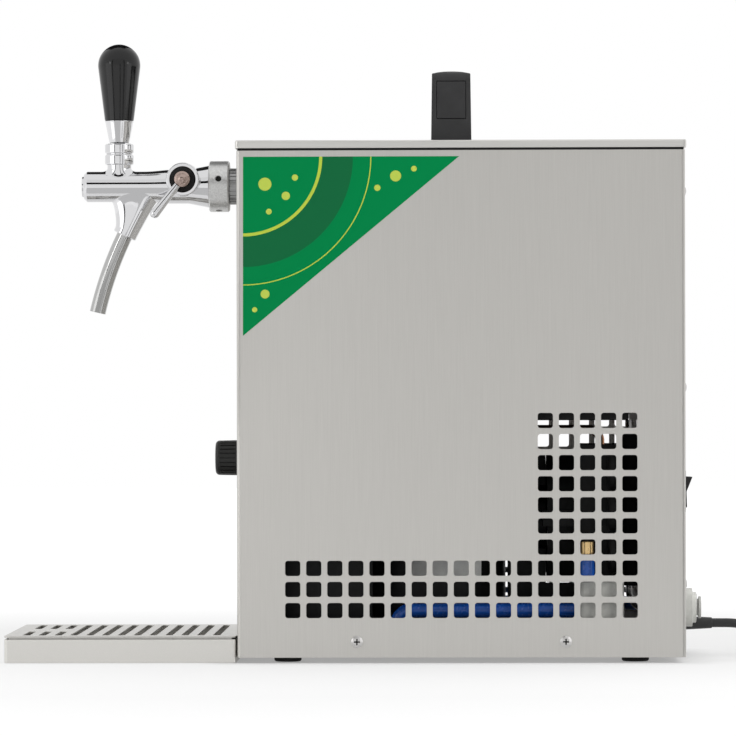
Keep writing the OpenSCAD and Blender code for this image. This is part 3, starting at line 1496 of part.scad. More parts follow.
module fan_motor() color(black) from_front() difference() {
    post = fan_d / 2 + ring_wall + arm[0];
    union() {
        turned_y(0, fan_z, [
            [0, motor_u - motor_l], [motor_d / 2 - motor_round, motor_u - motor_l],
            [motor_d / 2, motor_u - motor_l + motor_round], [motor_d / 2, motor_u], [0, motor_u]
        ]);
        block(about(0, arm[1] / 2), motor_post, [floor_z, fan_z + fan_d / 2]);
        block(about(0, arm[1] / 2), [comp_mid_u + comp_shell_r + post_gap, motor_u],
            [shell_z, shell_z + comp_shell_h / 2 - post_gap]);
        block(about(0, arm[1] / 2), [motor_post[0], shroud_u - arm_gap],
            [floor_z, fan_z - fan_d / 2 - ring_wall - arm_gap]);
        block([-post, post], [motor_u - arm[1], motor_u], about(fan_z, arm[0]));
        both_sides() block([post - arm[1], post], [motor_u - arm[1], shroud_u], about(fan_z, arm[0]));
    }
    rod_y(0, fan_z, fan_shaft_d + 2 * run_gap, [motor_u - fan_shaft_l - over, motor_u + over]);
}

module fan_blades() color(black) from_front() {
    turned_y(0, fan_z, [
        [0, motor_u - fan_shaft_l], [fan_shaft_d / 2, motor_u - fan_shaft_l],
        [fan_shaft_d / 2, blade_u - fan_hub_l / 2], [fan_hub_d / 2, blade_u - fan_hub_l / 2],
        [fan_hub_d / 2, blade_u + fan_hub_l / 2 - fan_hub_round],
        [fan_hub_d / 2 - fan_hub_round, blade_u + fan_hub_l / 2], [0, blade_u + fan_hub_l / 2]
    ]);
    intersection() {
        for (i = [0 : blades - 1]) translate([0, blade_u, fan_z]) rotate([0, 360 * i / blades, 0])
            rotate([blade_pitch, 0, 0]) translate([fan_hub_d / 4, -blade_chord / 2, -blade_t / 2])
                cube([blade_d / 2, blade_chord, blade_t]);
        rod_y(0, fan_z, blade_d, [shroud_u - 2 * fan_ring, shroud_u]);
    }
}

module air_pump() color(grey_plastic) from_front() {
    x = (pump_x[0] + pump_x[1]) / 2;
    u = (pump_u[0] + pump_u[1]) / 2;
    translate([x, u, floor_z]) linear_extrude(pump_h) round_rect(pump_w, pump_d, pump_round);
    rod_z(x, u, pump_head[0], [floor_z + pump_h, floor_z + pump_h + pump_head[1]]);
}

// The air hose runs from the pump, under the starter box and back to the outlet
module air_hose() color(blue) from_front() {
    rod_z(pump_x[1] - riser_in, pump_u[0] + riser_in, hose_d, [floor_z + pump_h, riser_top]);
    pipe([
        [hose_x, pump_u[0], outlet_z], [hose_x, hose_drop_u, outlet_z], [hose_x, hose_drop_u, hose_low],
        [hose_x, hose_front_u, hose_low], [hose_far_x, hose_front_u, hose_low],
        [hose_far_x, hose_front_u, outlet_z],
        [hose_far_x, hose_end - 2 * hose_bend, outlet_z], [outlet_x, hose_end - 2 * hose_bend, outlet_z],
        [outlet_x, hose_end, outlet_z]
    ], hose_d, hose_bend);
}

module insulated_block() color(foam) from_front()
    block((inner_w - cold_gap) * [-1, 1], [cold_u, cold_u + cold_d], [cold_z, cold_top]);

module refrigerant_pipes() color(copper) from_front() {
    top = shell_z + comp_shell_h;
    strut([comp_x - copper_side, comp_mid_u, top], [comp_x - copper_side, comp_mid_u, cold_z], suction_d);
    out = [comp_x + copper_side, comp_mid_u, top];
    rear = [comp_x + copper_side, (condenser_u[0] + condenser_u[1]) / 2, condenser_z + condenser_h];
    pipe([out, [out.x, out.y, discharge_z], [rear.x, rear.y, discharge_z], rear], copper_d, copper_bend);
}

module beer_pipes() color(satin) from_front() {
    strut([0, shank_l - pipe_in, tap_z], [0, cold_u, tap_z], pipe_d);
    start = rear_in_u - fitting_thread;
    riser = start - pipe_set;
    pipe([[inlet_x, start, inlet_z], [inlet_x, riser, inlet_z], [inlet_x, riser, cold_z]], pipe_d, pipe_bend);
}

base_plate();
rubber_feet();
front_panel();
right_side_panel();
left_side_panel();
rear_panel();
lid();
lid_gasket();
panel_screws();
carry_handle();
handle_caps();
drip_pan();
drip_grid();
tap_shank();
shank_backnut();
union_nut();
tap_body();
tap_spout();
lever_bonnet();
lever_stem();
lever_ferrule();
lever_knob();
valve_piston();
valve_seal();
compensator_gland();
compensator_spindle();
compensator_lever();
compensator_cone();
thermostat_body();
thermostat_nut();
thermostat_shaft();
thermostat_knob();
switch_frame();
switch_rocker();
beer_inlet_body();
beer_inlet_collet();
air_outlet_body();
air_outlet_collet();
fitting_nuts();
strain_relief();
power_cord();
cord_coil();
cord_tie();
plug_body();
plug_pins();
compressor_shell();
compressor_bracket();
compressor_mounts();
terminal_box();
condenser_fins();
condenser_tubes();
fan_shroud();
fan_motor();
fan_blades();
air_pump();
air_hose();
insulated_block();
refrigerant_pipes();
beer_pipes();
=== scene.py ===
import json
import math

import bmesh
import bpy
from mathutils import Matrix, Vector


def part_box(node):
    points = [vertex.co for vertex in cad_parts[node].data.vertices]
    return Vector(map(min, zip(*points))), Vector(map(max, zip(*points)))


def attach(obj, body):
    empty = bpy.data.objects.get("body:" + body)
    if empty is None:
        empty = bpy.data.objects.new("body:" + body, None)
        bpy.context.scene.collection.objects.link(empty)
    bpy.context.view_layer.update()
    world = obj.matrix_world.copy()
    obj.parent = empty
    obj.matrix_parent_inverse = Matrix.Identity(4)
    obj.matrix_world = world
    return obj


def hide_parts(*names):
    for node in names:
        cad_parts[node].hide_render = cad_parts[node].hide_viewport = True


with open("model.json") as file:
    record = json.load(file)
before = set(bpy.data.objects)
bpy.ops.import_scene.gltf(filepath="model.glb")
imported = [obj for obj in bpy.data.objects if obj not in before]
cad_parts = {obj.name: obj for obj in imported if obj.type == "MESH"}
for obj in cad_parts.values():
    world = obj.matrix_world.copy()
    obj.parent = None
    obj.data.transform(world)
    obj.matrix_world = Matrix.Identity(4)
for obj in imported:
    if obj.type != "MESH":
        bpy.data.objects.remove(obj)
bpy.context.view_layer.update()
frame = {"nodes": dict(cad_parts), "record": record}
cadNodes = frame["nodes"]
bodyOfNode = {n: b for b, members in frame["record"]["behaviour"]["bodies"].items() for n in members}

mm = 0.001
weld = 2e-6  # m, points closer than this become one
alongX, alongY, alongZ = Vector((1, 0, 0)), Vector((0, 1, 0)), Vector((0, 0, 1))
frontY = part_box("front_panel")[0][1]  # front face of the case
scene = bpy.context.scene
print("frame loaded:", len(cadNodes), "nodes")


# x across the case, u behind its front face, z above the floor, all in mm
def at(x, u, z):
    return Vector((x * mm, u * mm + frontY, z * mm))


def linked(name, data):
    obj = bpy.data.objects.new(name, data)
    scene.collection.objects.link(obj)
    return obj


photoCamera = {
    "image": 736,
    "scale": 1.309,  # px per mm on the near side panel
    "distance": 3700,
    "sidePlane": 97.5,
    "foot": (178.5, 203.5),  # u and z of the point straight before the lens
    "vanish": (470.0, 396.5),  # where that point lies in the image
    "roll": -0.12,
    "sensor": 36,
    "farClip": 60,
}


def placeCamera(cfg):
    half = cfg["image"] / 2
    focal = cfg["scale"] * cfg["distance"]
    data = bpy.data.cameras.new("photoCamera")
    data.sensor_width = cfg["sensor"]
    data.lens = focal / cfg["image"] * cfg["sensor"]
    data.clip_end = cfg["farClip"]
    vanishX, vanishY = cfg["vanish"]
    ahead = Vector((-1, -(vanishX - half) / focal, (vanishY - half) / focal))
    roll = Matrix.Rotation(math.radians(cfg["roll"]), 3, "Z")
    turn = ahead.to_track_quat("-Z", "Y").to_matrix() @ roll
    stand = at(cfg["sidePlane"] + cfg["distance"], *cfg["foot"])
    scene.camera = linked("photoCamera", data)
    scene.camera.matrix_world = Matrix.Translation(stand) @ turn.to_4x4()


placeCamera(photoCamera)
scene.view_settings.view_transform = "Standard"


finishes = {}
noiseUse = {"rough": (0.3, 0.7), "tone": (0.32, 0.68)}  # the part of a noise's range that is used


def newFinish(name, colour, metal, rough):
    mat = bpy.data.materials.new(name)
    mat.use_nodes = True
    finishes[name] = mat
    shader = mat.node_tree.nodes["Principled BSDF"]
    shader.inputs["Base Color"].default_value = (*colour, 1)
    shader.inputs["Metallic"].default_value = metal
    shader.inputs["Roughness"].default_value = rough
    return mat.node_tree, shader


def noiseOn(tree, stretch, detail, rough=0.6):
    coord = tree.nodes.new("ShaderNodeTexCoord")
    place = tree.nodes.new("ShaderNodeMapping")
    place.inputs["Scale"].default_value = stretch
    noise = tree.nodes.new("ShaderNodeTexNoise")
    noise.inputs["Scale"].default_value = 1.0
    noise.inputs["Detail"].default_value = detail
    noise.inputs["Roughness"].default_value = rough
    tree.links.new(coord.outputs["Object"], place.inputs["Vector"])
    tree.links.new(place.outputs["Vector"], noise.inputs["Vector"])
    return noise.outputs["Fac"]


def varyRoughness(tree, shader, source, low, high):
    span = tree.nodes.new("ShaderNodeMapRange")
    span.inputs["From Min"].default_value, span.inputs["From Max"].default_value = noiseUse["rough"]
    span.inputs["To Min"].default_value = low
    span.inputs["To Max"].default_value = high
    tree.links.new(source, span.inputs["Value"])
    tree.links.new(span.outputs["Result"], shader.inputs["Roughness"])


# Colours along a source, from stops of (position, colour)
def rampOn(tree, source, stops, blend="LINEAR"):
    ramp = tree.nodes.new("ShaderNodeValToRGB")
    ramp.color_ramp.interpolation = blend
    marks = ramp.color_ramp.elements
    for i, (place, colour) in enumerate(stops):
        mark = marks[i] if i < len(marks) else marks.new(place)
        mark.position = place
        mark.color = (*colour, 1)
    tree.links.new(source, ramp.inputs["Fac"])
    return ramp.outputs["Color"]


def varyColour(tree, shader, source, dark, light):
    colours = rampOn(tree, source, zip(noiseUse["tone"], (dark, light)))
    tree.links.new(colours, shader.inputs["Base Color"])


def addBump(tree, shader, source, strength, distance):
    bump = tree.nodes.new("ShaderNodeBump")
    bump.inputs["Strength"].default_value = strength
    bump.inputs["Distance"].default_value = distance
    tree.links.new(source, bump.inputs["Height"])
    tree.links.new(bump.outputs["Normal"], shader.inputs["Normal"])


def shade(colour, k):
    return tuple(min(1.0, c * k) for c in colour)


brushedSteel = {
    "metal": 0.92,
    # scale of the noise along x, y and z, so that the brush lines run one way
    "upright": (2600.0, 2600.0, 26.0),
    "lengthwise": (2600.0, 26.0, 2600.0),
    "crosswise": (26.0, 2600.0, 2600.0),
    "lineDetail": 4.0,
    "lineTones": (0.97, 1.03),
    "lineDepth": {"strength": 0.05, "distance": 0.00005},
    "patch": (1.0, 1.0, 1.0),
    "patchDetail": 2.0,
    "patchRough": (-0.05, 0.06),
    # colour, way of the brush lines and roughness
    "sheets": {
        "sideSteel": ((0.552, 0.540, 0.514), "upright", 0.36),
        "lidSteel": ((0.645, 0.637, 0.612), "lengthwise", 0.32),
        "traySteel": ((0.655, 0.643, 0.613), "crosswise", 0.33),
        # a darker copy of the tray's steel: painted shade on the drip grid's top
        "shadedGridSteel": ((0.540, 0.530, 0.505), "crosswise", 0.33),
    },
}


def makeSheetSteel(name, cfg):
    colour, way, rough = cfg["sheets"][name]
    tree, shader = newFinish(name, colour, cfg["metal"], rough)
    lines = noiseOn(tree, cfg[way], cfg["lineDetail"])
    varyColour(tree, shader, lines, *(shade(colour, k) for k in cfg["lineTones"]))
    patches = noiseOn(tree, cfg["patch"], cfg["patchDetail"])
    varyRoughness(tree, shader, patches, *(rough + r for r in cfg["patchRough"]))
    addBump(tree, shader, lines, **cfg["lineDepth"])


polishedMetal = {
    "patch": (140.0, 140.0, 140.0),
    "patchDetail": 4.0,
    # colour, lowest roughness and how far it rises
    "metals": {
        "tapChrome": ((0.69, 0.69, 0.70), 0.04, 0.03),
        # rougher and darker than the tap's chrome: the rougher finish is the spout's own, and the darker
        # colour is painted shade for the darker things it mirrors
        "shadedSpoutSteel": ((0.46, 0.46, 0.455), 0.12, 0.03),
        "brightSteel": ((0.58, 0.57, 0.56), 0.24, 0.08),
        # darker than the bright steel: painted shade in the shank's serrations between the nut and the
        # case
        "shadedThreadSteel": ((0.34, 0.34, 0.34), 0.30, 0.10),
        "rosyBrass": ((0.40, 0.31, 0.275), 0.17, 0.06),
        "copperTube": ((0.72, 0.36, 0.20), 0.25, 0.12),
        "brassCap": ((0.70, 0.50, 0.24), 0.25, 0.10),
    },
}


def makePolished(name, cfg):
    colour, rough, rise = cfg["metals"][name]
    tree, shader = newFinish(name, colour, 1.0, rough)
    patches = noiseOn(tree, cfg["patch"], cfg["patchDetail"])
    varyRoughness(tree, shader, patches, rough, rough + rise)


castZinc = {
    "colour": (0.60, 0.60, 0.59),
    "dark": (0.50, 0.50, 0.495),
    "light": (0.72, 0.72, 0.71),
    "metal": 0.9,
    "rough": 0.36,
    "pits": (900.0, 900.0, 900.0),
    "pitDetail": 5.0,
    "pitRough": 0.65,
    "pitDepth": {"strength": 0.16, "distance": 0.0002},
}


def makeCast(name, cfg):
    tree, shader = newFinish(name, cfg["colour"], cfg["metal"], cfg["rough"])
    pits = noiseOn(tree, cfg["pits"], cfg["pitDetail"], cfg["pitRough"])
    varyColour(tree, shader, pits, cfg["dark"], cfg["light"])
    addBump(tree, shader, pits, **cfg["pitDepth"])


mouldedPlastic = {
    "grainDetail": 3.0,
    "grainDepth": 0.0001,
    "patch": (60.0, 60.0, 60.0),
    "patchDetail": 4.0,
    "patchTones": (0.85, 1.15),
    "sheen": (220.0, 220.0, 220.0),
    "sheenDetail": 3.0,
    "sheenRough": (-0.05, 0.07),
    # colour, roughness, scale and strength of the grain, and gloss
    "plastics": {
        "handlePlastic": ((0.019, 0.019, 0.0195), 0.46, 1400.0, 0.08, 0.32),
        "knobPlastic": ((0.003, 0.003, 0.0032), 0.13, 90.0, 0.01, 0.40),
        "dialPlastic": ((0.0145, 0.0145, 0.014), 0.44, 1400.0, 0.08, 0.30),
        "switchPlastic": ((0.010, 0.010, 0.0105), 0.34, 1400.0, 0.06, 0.35),
        "cordPvc": ((0.019, 0.019, 0.0195), 0.46, 1800.0, 0.10, 0.4),
        "footRubber": ((0.010, 0.010, 0.010), 0.66, 1600.0, 0.15, 0.25),
        # black rubber of the gaskets and seals, also used as painted shade in the nut's spanner holes and
        # the screws' recesses
        "rubberAndShadeBlack": ((0.010, 0.010, 0.010), 0.70, 1600.0, 0.12, 0.25),
        "fittingPlastic": ((0.47, 0.47, 0.445), 0.34, 1400.0, 0.08, 0.5),
        "colletPlastic": ((0.34, 0.34, 0.325), 0.38, 1400.0, 0.08, 0.5),
        "pumpPlastic": ((0.34, 0.34, 0.32), 0.45, 1400.0, 0.08, 0.5),
        "blackPaint": ((0.005, 0.005, 0.005), 0.42, 700.0, 0.06, 0.22),
        "finPaint": ((0.008, 0.008, 0.008), 0.60, 900.0, 0.10, 0.2),
        "foamSkin": ((0.012, 0.012, 0.012), 0.75, 500.0, 0.20, 0.25),
        "hosePlastic": ((0.010, 0.075, 0.36), 0.24, 300.0, 0.02, 0.5),
        "labelPaper": ((0.62, 0.62, 0.60), 0.55, 1200.0, 0.04, 0.5),
    },
}


def makeMoulded(name, cfg):
    colour, rough, grainSize, grainStrength, gloss = cfg["plastics"][name]
    tree, shader = newFinish(name, colour, 0.0, rough)
    shader.inputs["Specular IOR Level"].default_value = gloss
    grain = noiseOn(tree, (grainSize,) * 3, cfg["grainDetail"])
    patches = noiseOn(tree, cfg["patch"], cfg["patchDetail"])
    varyColour(tree, shader, patches, *(shade(colour, k) for k in cfg["patchTones"]))
    sheen = noiseOn(tree, cfg["sheen"], cfg["sheenDetail"])
    varyRoughness(tree, shader, sheen, *(rough + r for r in cfg["sheenRough"]))
    addBump(tree, shader, grain, grainStrength, cfg["grainDepth"])


for name in brushedSteel["sheets"]:
    makeSheetSteel(name, brushedSteel)
for name in polishedMetal["metals"]:
    makePolished(name, polishedMetal)
makeCast("nutZinc", castZinc)
for name in mouldedPlastic["plastics"]:
    makeMoulded(name, mouldedPlastic)
print("finishes ready:", len(finishes))


edgeWork = {
    "flat": 0.6,  # degrees, faces closer to one plane than this are joined
    "sharp": 32,  # degrees, edges above this are shaded as edges
    "broken": 38,  # degrees, edges above this are broken
    "segments": 2,
    "steps": 72,
    "near": 0.5,  # cosine, a direction above this is near an axis
}


def objectFrom(name, bm, finish):
    mesh = bpy.data.meshes.new(name)
    bm.to_mesh(mesh)
    bm.free()
    mesh.materials.append(finishes[finish])
    return linked(name, mesh)


def addPiece(name, bm, finish, body, stands=(), sharp=edgeWork["sharp"]):
    piece = objectFrom(name, bm, finish)
    mesh = piece.data
    mesh.polygons.foreach_set("use_smooth", [True] * len(mesh.polygons))
    mesh.set_sharp_from_angle(angle=math.radians(sharp))
    piece.modifiers.new("evenNormals", "WEIGHTED_NORMAL").keep_sharp = True
    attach(piece, body)
    if stands:
        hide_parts(*stands)
    return piece


def softenEdges(bm, width, segments, angle):
    limit = math.radians(angle)
    edges = [e for e in bm.edges if len(e.link_faces) == 2 and e.calc_face_angle(0.0) > limit]
    bmesh.ops.bevel(bm, geom=edges, offset=width * mm, offset_type="OFFSET", segments=segments,
                    profile=0.5, affect="EDGES", clamp_overlap=True, material=-1)


# A copy of a CAD solid with its edges broken, as a maker would file them
def softCopy(node, finish, width, segments=edgeWork["segments"], angle=edgeWork["broken"]):
    bm = bmesh.new()
    bm.from_mesh(cadNodes[node].data)
    bmesh.ops.remove_doubles(bm, verts=bm.verts, dist=weld)
    bmesh.ops.dissolve_limit(bm, angle_limit=math.radians(edgeWork["flat"]), use_dissolve_boundaries=False,
                             verts=bm.verts, edges=bm.edges)
    if width > 0:
        softenEdges(bm, width, segments, angle)
    return addPiece(node + "Soft", bm, finish, bodyOfNode[node], (node,))


def dressNodes(edges):
    for node, (finish, width) in edges.items():
        softCopy(node, finish, width)


# The first of z, y and x that isn't near an axis, made square to it
def sideOf(axis):
    out = next(d for d in (alongZ, alongY, alongX) if abs(axis.dot(d)) < edgeWork["near"])
    return (out - axis * out.dot(axis)).normalized()


# An outline of (radius, along) points spun about an axis through a point
def spinInto(bm, outline, centre, axis, steps):
    out = sideOf(axis)
    verts = [bm.verts.new(centre + axis * (a * mm) + out * (r * mm)) for r, a in outline]
    edges = [bm.edges.new(pair) for pair in zip(verts, verts[1:])]
    bmesh.ops.spin(bm, geom=verts + edges, cent=centre, axis=axis, angle=math.tau, steps=steps,
                   use_merge=True)
    bmesh.ops.remove_doubles(bm, verts=bm.verts, dist=weld)


def spunPiece(name, outline, centre, axis, finish, body, stands=()):
    bm = bmesh.new()
    spinInto(bm, outline, centre, axis, edgeWork["steps"])
    bmesh.ops.recalc_face_normals(bm, faces=bm.faces)
    addPiece(name, bm, finish, body, stands)


# Two bars across each other, one of them turned about the named axis
def addCross(bm, size, centre, axisName):
    for turned in (0, 90):
        bar = bmesh.ops.create_cube(bm, size=1.0)["verts"]
        bmesh.ops.scale(bm, verts=bar, vec=[s * mm for s in size])
        bmesh.ops.rotate(bm, verts=bar, matrix=Matrix.Rotation(math.radians(turned), 3, axisName))
        bmesh.ops.translate(bm, verts=bar, vec=centre)


leadShape = {
    "diameter": 7.3,
    "exit": (-12.0, 368.0, 25.3),
    "length": 1.75,  # m
    "route": [(0, 0, 0), (0, 8, 0), (0, 16, -0.2), (0, 24, -1.4), (0, 32, -4), (0, 40, -7.8), (0, 48, -12),
              (0, 56, -16), (0, 64, -19), (0, 72, -20.6), (0, 80, -21), (0, 92, -21)],
    "tail": [(0, 0, 0), (0, 10, 0), (0, 20, 0.6), (0, 30, 2.6), (0, 40, 4.9), (0, 48, 6), (0, 56, 6.3)],
    "coilRadius": 30.0,
    "coilStep": 8.8,
    "coilRise": 8.4,
    "wind": 2.75,  # turns in each of the two layers
    "climb": 0.5,  # turn in which the lead rises to the upper layer
    "perTurn": 24,
    "smooth": 3,
    "tieEdge": 0.12,
    "plugEdge": 0.7,
    "plugSegments": 3,
    "pinEdge": 0.2,
    "reliefEdge": 0.5,
}


def leadPoints(cfg):
    exitX, exitU, exitZ = cfg["exit"]
    points = [(exitX + x, exitU + u, exitZ + z) for x, u, z in cfg["route"]]
    endX, endU, endZ = points[-1]
    wind, climb = cfg["wind"], cfg["climb"]
    outer = cfg["coilRadius"] + cfg["coilStep"] * wind
    midX, midU = endX - outer, endU + cfg["diameter"]
    for i in range(int((2 * wind + climb) * cfg["perTurn"]) + 1):
        t = i / cfg["perTurn"]
        if t < wind:
            r = outer - cfg["coilStep"] * t
        else:
            r = cfg["coilRadius"] + cfg["coilStep"] * max(0.0, t - wind - climb)
        lift = cfg["coilRise"] * min(1.0, max(0.0, (t - wind) / climb))
        angle = math.tau * t
        points.append((midX + r * math.cos(angle), midU + r * math.sin(angle), endZ + lift))
    lastX, lastU, lastZ = points[-1]
    points += [(lastX + x, lastU + cfg["diameter"] + u, lastZ + z) for x, u, z in cfg["tail"]]
    return [at(*p) for p in points]


def makeLead(cfg):
    curve = bpy.data.curves.new("mainsLead", "CURVE")
    curve.dimensions = "3D"
    curve.bevel_depth = cfg["diameter"] / 2 * mm
    curve.bevel_resolution = cfg["smooth"]
    curve.resolution_u = cfg["smooth"]
    curve.use_fill_caps = True
    points = leadPoints(cfg)
    line = curve.splines.new("BEZIER")
    line.bezier_points.add(len(points) - 1)
    for knot, p in zip(line.bezier_points, points):
        knot.co = p
        knot.handle_left_type = knot.handle_right_type = "AUTO"
    curve.materials.append(finishes["cordPvc"])
    lead = linked("mainsLead", curve)
    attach(lead, "case")
    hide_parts("power_cord", "cord_coil")
    return lead, points[0]


mainsLead, leadExit = makeLead(leadShape)
leadTie = softCopy("cord_tie", "cordPvc", leadShape["tieEdge"])
plugBody = softCopy("plug_body", "cordPvc", leadShape["plugEdge"], leadShape["plugSegments"])
plugPins = softCopy("plug_pins", "brightSteel", leadShape["pinEdge"])
softCopy("strain_relief", "cordPvc", leadShape["reliefEdge"])
print("mains lead laid")


# finish and width of the broken edges in mm
caseEdges = {
    "front_panel": ("sideSteel", 0.25),
    "right_side_panel": ("sideSteel", 0.18),
    "left_side_panel": ("sideSteel", 0.18),
    "rear_panel": ("sideSteel", 0.18),
    "base_plate": ("sideSteel", 0.2),
    "lid": ("lidSteel", 0.3),
    "lid_gasket": ("rubberAndShadeBlack", 0.3),
    "rubber_feet": ("footRubber", 0.4),
    "panel_screws": ("brightSteel", 0.25),
    "drip_pan": ("traySteel", 0.3),
    "drip_grid": ("shadedGridSteel", 0.28),
}
dressNodes(caseEdges)

handleEdges = {
    "carry_handle": {"width": 2.4, "segments": 4, "angle": 30},
    "handle_caps": {"width": 0.5},
}
for node, edge in handleEdges.items():
    softCopy(node, "handlePlastic", **edge)
print("case dressed")


tapPlace = {
    "axisZ": 368.5,  # the barrel's axis
    "boss": (-45.8, 373.5),  # u and z of the compensator's boss
    "leverU": -96.4,
}

tapShape = {
    "barrelR": 12.1,
    "barrel": [(0, -125.6), (8, -125.6), (8.2, -124), (10, -124), (12.1, -121.6), (12.1, -77),
               (12.16, -74), (12.35, -70.5), (12.7, -66.5), (13.1, -62.5), (13.35, -59.5),
               (13.47, -56.5), (13.5, -53), (13.5, -42.5), (13.7, -41), (16.5, -27), (16.7, -25.7),
               (15.4, -25.4), (15.4, -20), (9.2, -20), (9.2, -27)],
    "barrelSteps": 96,
    "bossR": 14.0,
    "chamberR": 9.2,
    "boss": [(0, 2), (2.5, 2.7), (5, 3.5), (7.5, 4.2), (10, 4.9), (12, 5.5), (13.6, 6), (13.08, 9.7),
             (13.0, 17.6), (12.4, 18.5), (10.2, 18.5), (9.6, 17.9), (9.6, 16.9), (0, 16.9)],
    "edge": {"width": 0.35, "segments": 3, "angle": 24},
    "spoutFoot": {"u": -79.6, "front": 22.9, "rear": 13.5, "round": 66, "side": -1,
                  "endPull": 6, "sidePull": 17, "ringPull": 10},
    "spoutRing": {"u": -92.4, "z": 330.0, "lean": 25.8, "back": 3.0, "r": 9.5,
                  "lip": 0.6, "mouthR": 6.5, "boreR": 6.35, "sunk": 1.5},
    "neckFoot": {"u": tapPlace["leverU"], "front": 13.4, "rear": 13.4, "round": 58, "side": 1,
                 "endPull": 5, "sidePull": 5, "ringPull": 5},
    "neckRing": {"z": 383.2, "r": 9.4, "top": 385.5},
    "footInside": 0.96,
    "facets": 64,
    "rings": 14,
    "sharp": 40,
}


# A point on the curve that leaves p0 along t0 and reaches p1 along t1
def curvePoint(p0, t0, p1, t1, s):
    start, end = 2 * s**3 - 3 * s**2 + 1, 3 * s**2 - 2 * s**3
    return p0 * start + t0 * (s**3 - 2 * s**2 + s) + p1 * end + t1 * (s**3 - s**2)


# Smooth saddle from a patch of the barrel to a round ring, as the casting blends
def blendBranch(bm, cfg, foot, ringCentre, ringAxis, ringR):
    other = alongX.cross(ringAxis)
    if other.y < 0:
        other.negate()

    def footPoint(angle, size):
        theta = math.radians(foot["round"]) * math.cos(angle) * size
        reach = foot["rear"] if math.sin(angle) > 0 else foot["front"]
        return at(cfg["barrelR"] * math.sin(theta), foot["u"] + reach * math.sin(angle) * size,
                  tapPlace["axisZ"] + foot["side"] * cfg["barrelR"] * math.cos(theta))

    rows = []
    for k in range(cfg["facets"]):
        angle = math.tau * k / cfg["facets"]
        p0 = footPoint(angle, 1.0)
        pull = foot["sidePull"] + (foot["endPull"] - foot["sidePull"]) * abs(math.sin(angle))
        t0 = (footPoint(angle, cfg["footInside"]) - p0).normalized() * pull * mm
        p1 = ringCentre + (alongX * math.cos(angle) + other * math.sin(angle)) * (ringR * mm)
        t1 = ringAxis * (foot["ringPull"] * mm)
        shares = [i / cfg["rings"] for i in range(cfg["rings"] + 1)]
        rows.append([bm.verts.new(curvePoint(p0, t0, p1, t1, s)) for s in shares])
    for row, nextRow in zip(rows, rows[1:] + rows[:1]):
        for i in range(cfg["rings"]):
            bm.faces.new((row[i], nextRow[i], nextRow[i + 1], row[i + 1]))


def addSpoutBranch(bm, cfg, ring):
    lean = math.radians(ring["lean"])
    down = Vector((0, -math.sin(lean), -math.cos(lean)))
    end = at(0, ring["u"], ring["z"])
    r, lip = ring["r"], ring["lip"]
    blendBranch(bm, cfg, cfg["spoutFoot"], end - down * ring["back"] * mm, down, r)
    mouth = [(ring["mouthR"], 0), (ring["boreR"], -ring["sunk"])]
    socket = [(r, -ring["back"]), (r, -lip), (r - lip, 0)] + mouth
    spinInto(bm, socket, end, down, cfg["facets"])


def addLeverNeck(bm, cfg, ring):
    middle = at(0, cfg["neckFoot"]["u"], ring["z"])
    blendBranch(bm, cfg, cfg["neckFoot"], middle, alongZ, ring["r"])
    collar = [(ring["r"], 0), (ring["r"], ring["top"] - ring["z"])]
    spinInto(bm, collar, middle, alongZ, cfg["facets"])


# The boss keeps out of the bore in which the valve and the cone slide
def clearChamber(bm, cfg):
    middle = at(0, tapPlace["boss"][0], tapPlace["axisZ"])
    room, reach = cfg["chamberR"] * mm, cfg["bossR"] * mm
    for v in bm.verts:
        lift = v.co.z - middle.z
        if abs(v.co.y - middle.y) >= reach or abs(lift) >= room:
            continue
        wall = math.sqrt(room**2 - lift**2)
        if -mm < v.co.x < wall:
            v.co.x = wall


def makeTapCasting(cfg):
    bm = bmesh.new()
    spinInto(bm, cfg["barrel"], at(0, 0, tapPlace["axisZ"]), alongY, cfg["barrelSteps"])
    spinInto(bm, cfg["boss"], at(0, *tapPlace["boss"]), alongX, edgeWork["steps"])
    bmesh.ops.recalc_face_normals(bm, faces=bm.faces)
    softenEdges(bm, **cfg["edge"])
    clearChamber(bm, cfg)
    blend = bmesh.new()
    addSpoutBranch(blend, cfg, cfg["spoutRing"])
    addLeverNeck(blend, cfg, cfg["neckRing"])
    bmesh.ops.remove_doubles(blend, verts=blend.verts, dist=weld)
    bmesh.ops.recalc_face_normals(blend, faces=blend.faces)
    branches = bpy.data.meshes.new("tapBlend")
    blend.to_mesh(branches)
    blend.free()
    bm.from_mesh(branches)
    bpy.data.meshes.remove(branches)
    addPiece("tapCasting", bm, "tapChrome", "case", ("tap_body",), cfg["sharp"])


makeTapCasting(tapShape)

# black discs on the union nut: painted shade standing in for its spanner holes
nutHoleShade = {"u": -17.7, "r": 2.35, "out": 18.1, "high": 0.12, "count": 4, "turned": 16, "steps": 24}


def makeNutHoleShade(cfg):
    bm = bmesh.new()
    disc = [(0, cfg["high"]), (cfg["r"], cfg["high"]), (cfg["r"], 0.0)]
    middle = at(0, cfg["u"], tapPlace["axisZ"])
    for i in range(cfg["count"]):
        turn = math.radians(360 / cfg["count"] * i - cfg["turned"])
        out = Matrix.Rotation(turn, 3, "Y") @ alongX
        spinInto(bm, disc, middle + out * (cfg["out"] * mm), out, cfg["steps"])
    bmesh.ops.recalc_face_normals(bm, faces=bm.faces)
    addPiece("nutHoleShade", bm, "rubberAndShadeBlack", "case")


makeNutHoleShade(nutHoleShade)

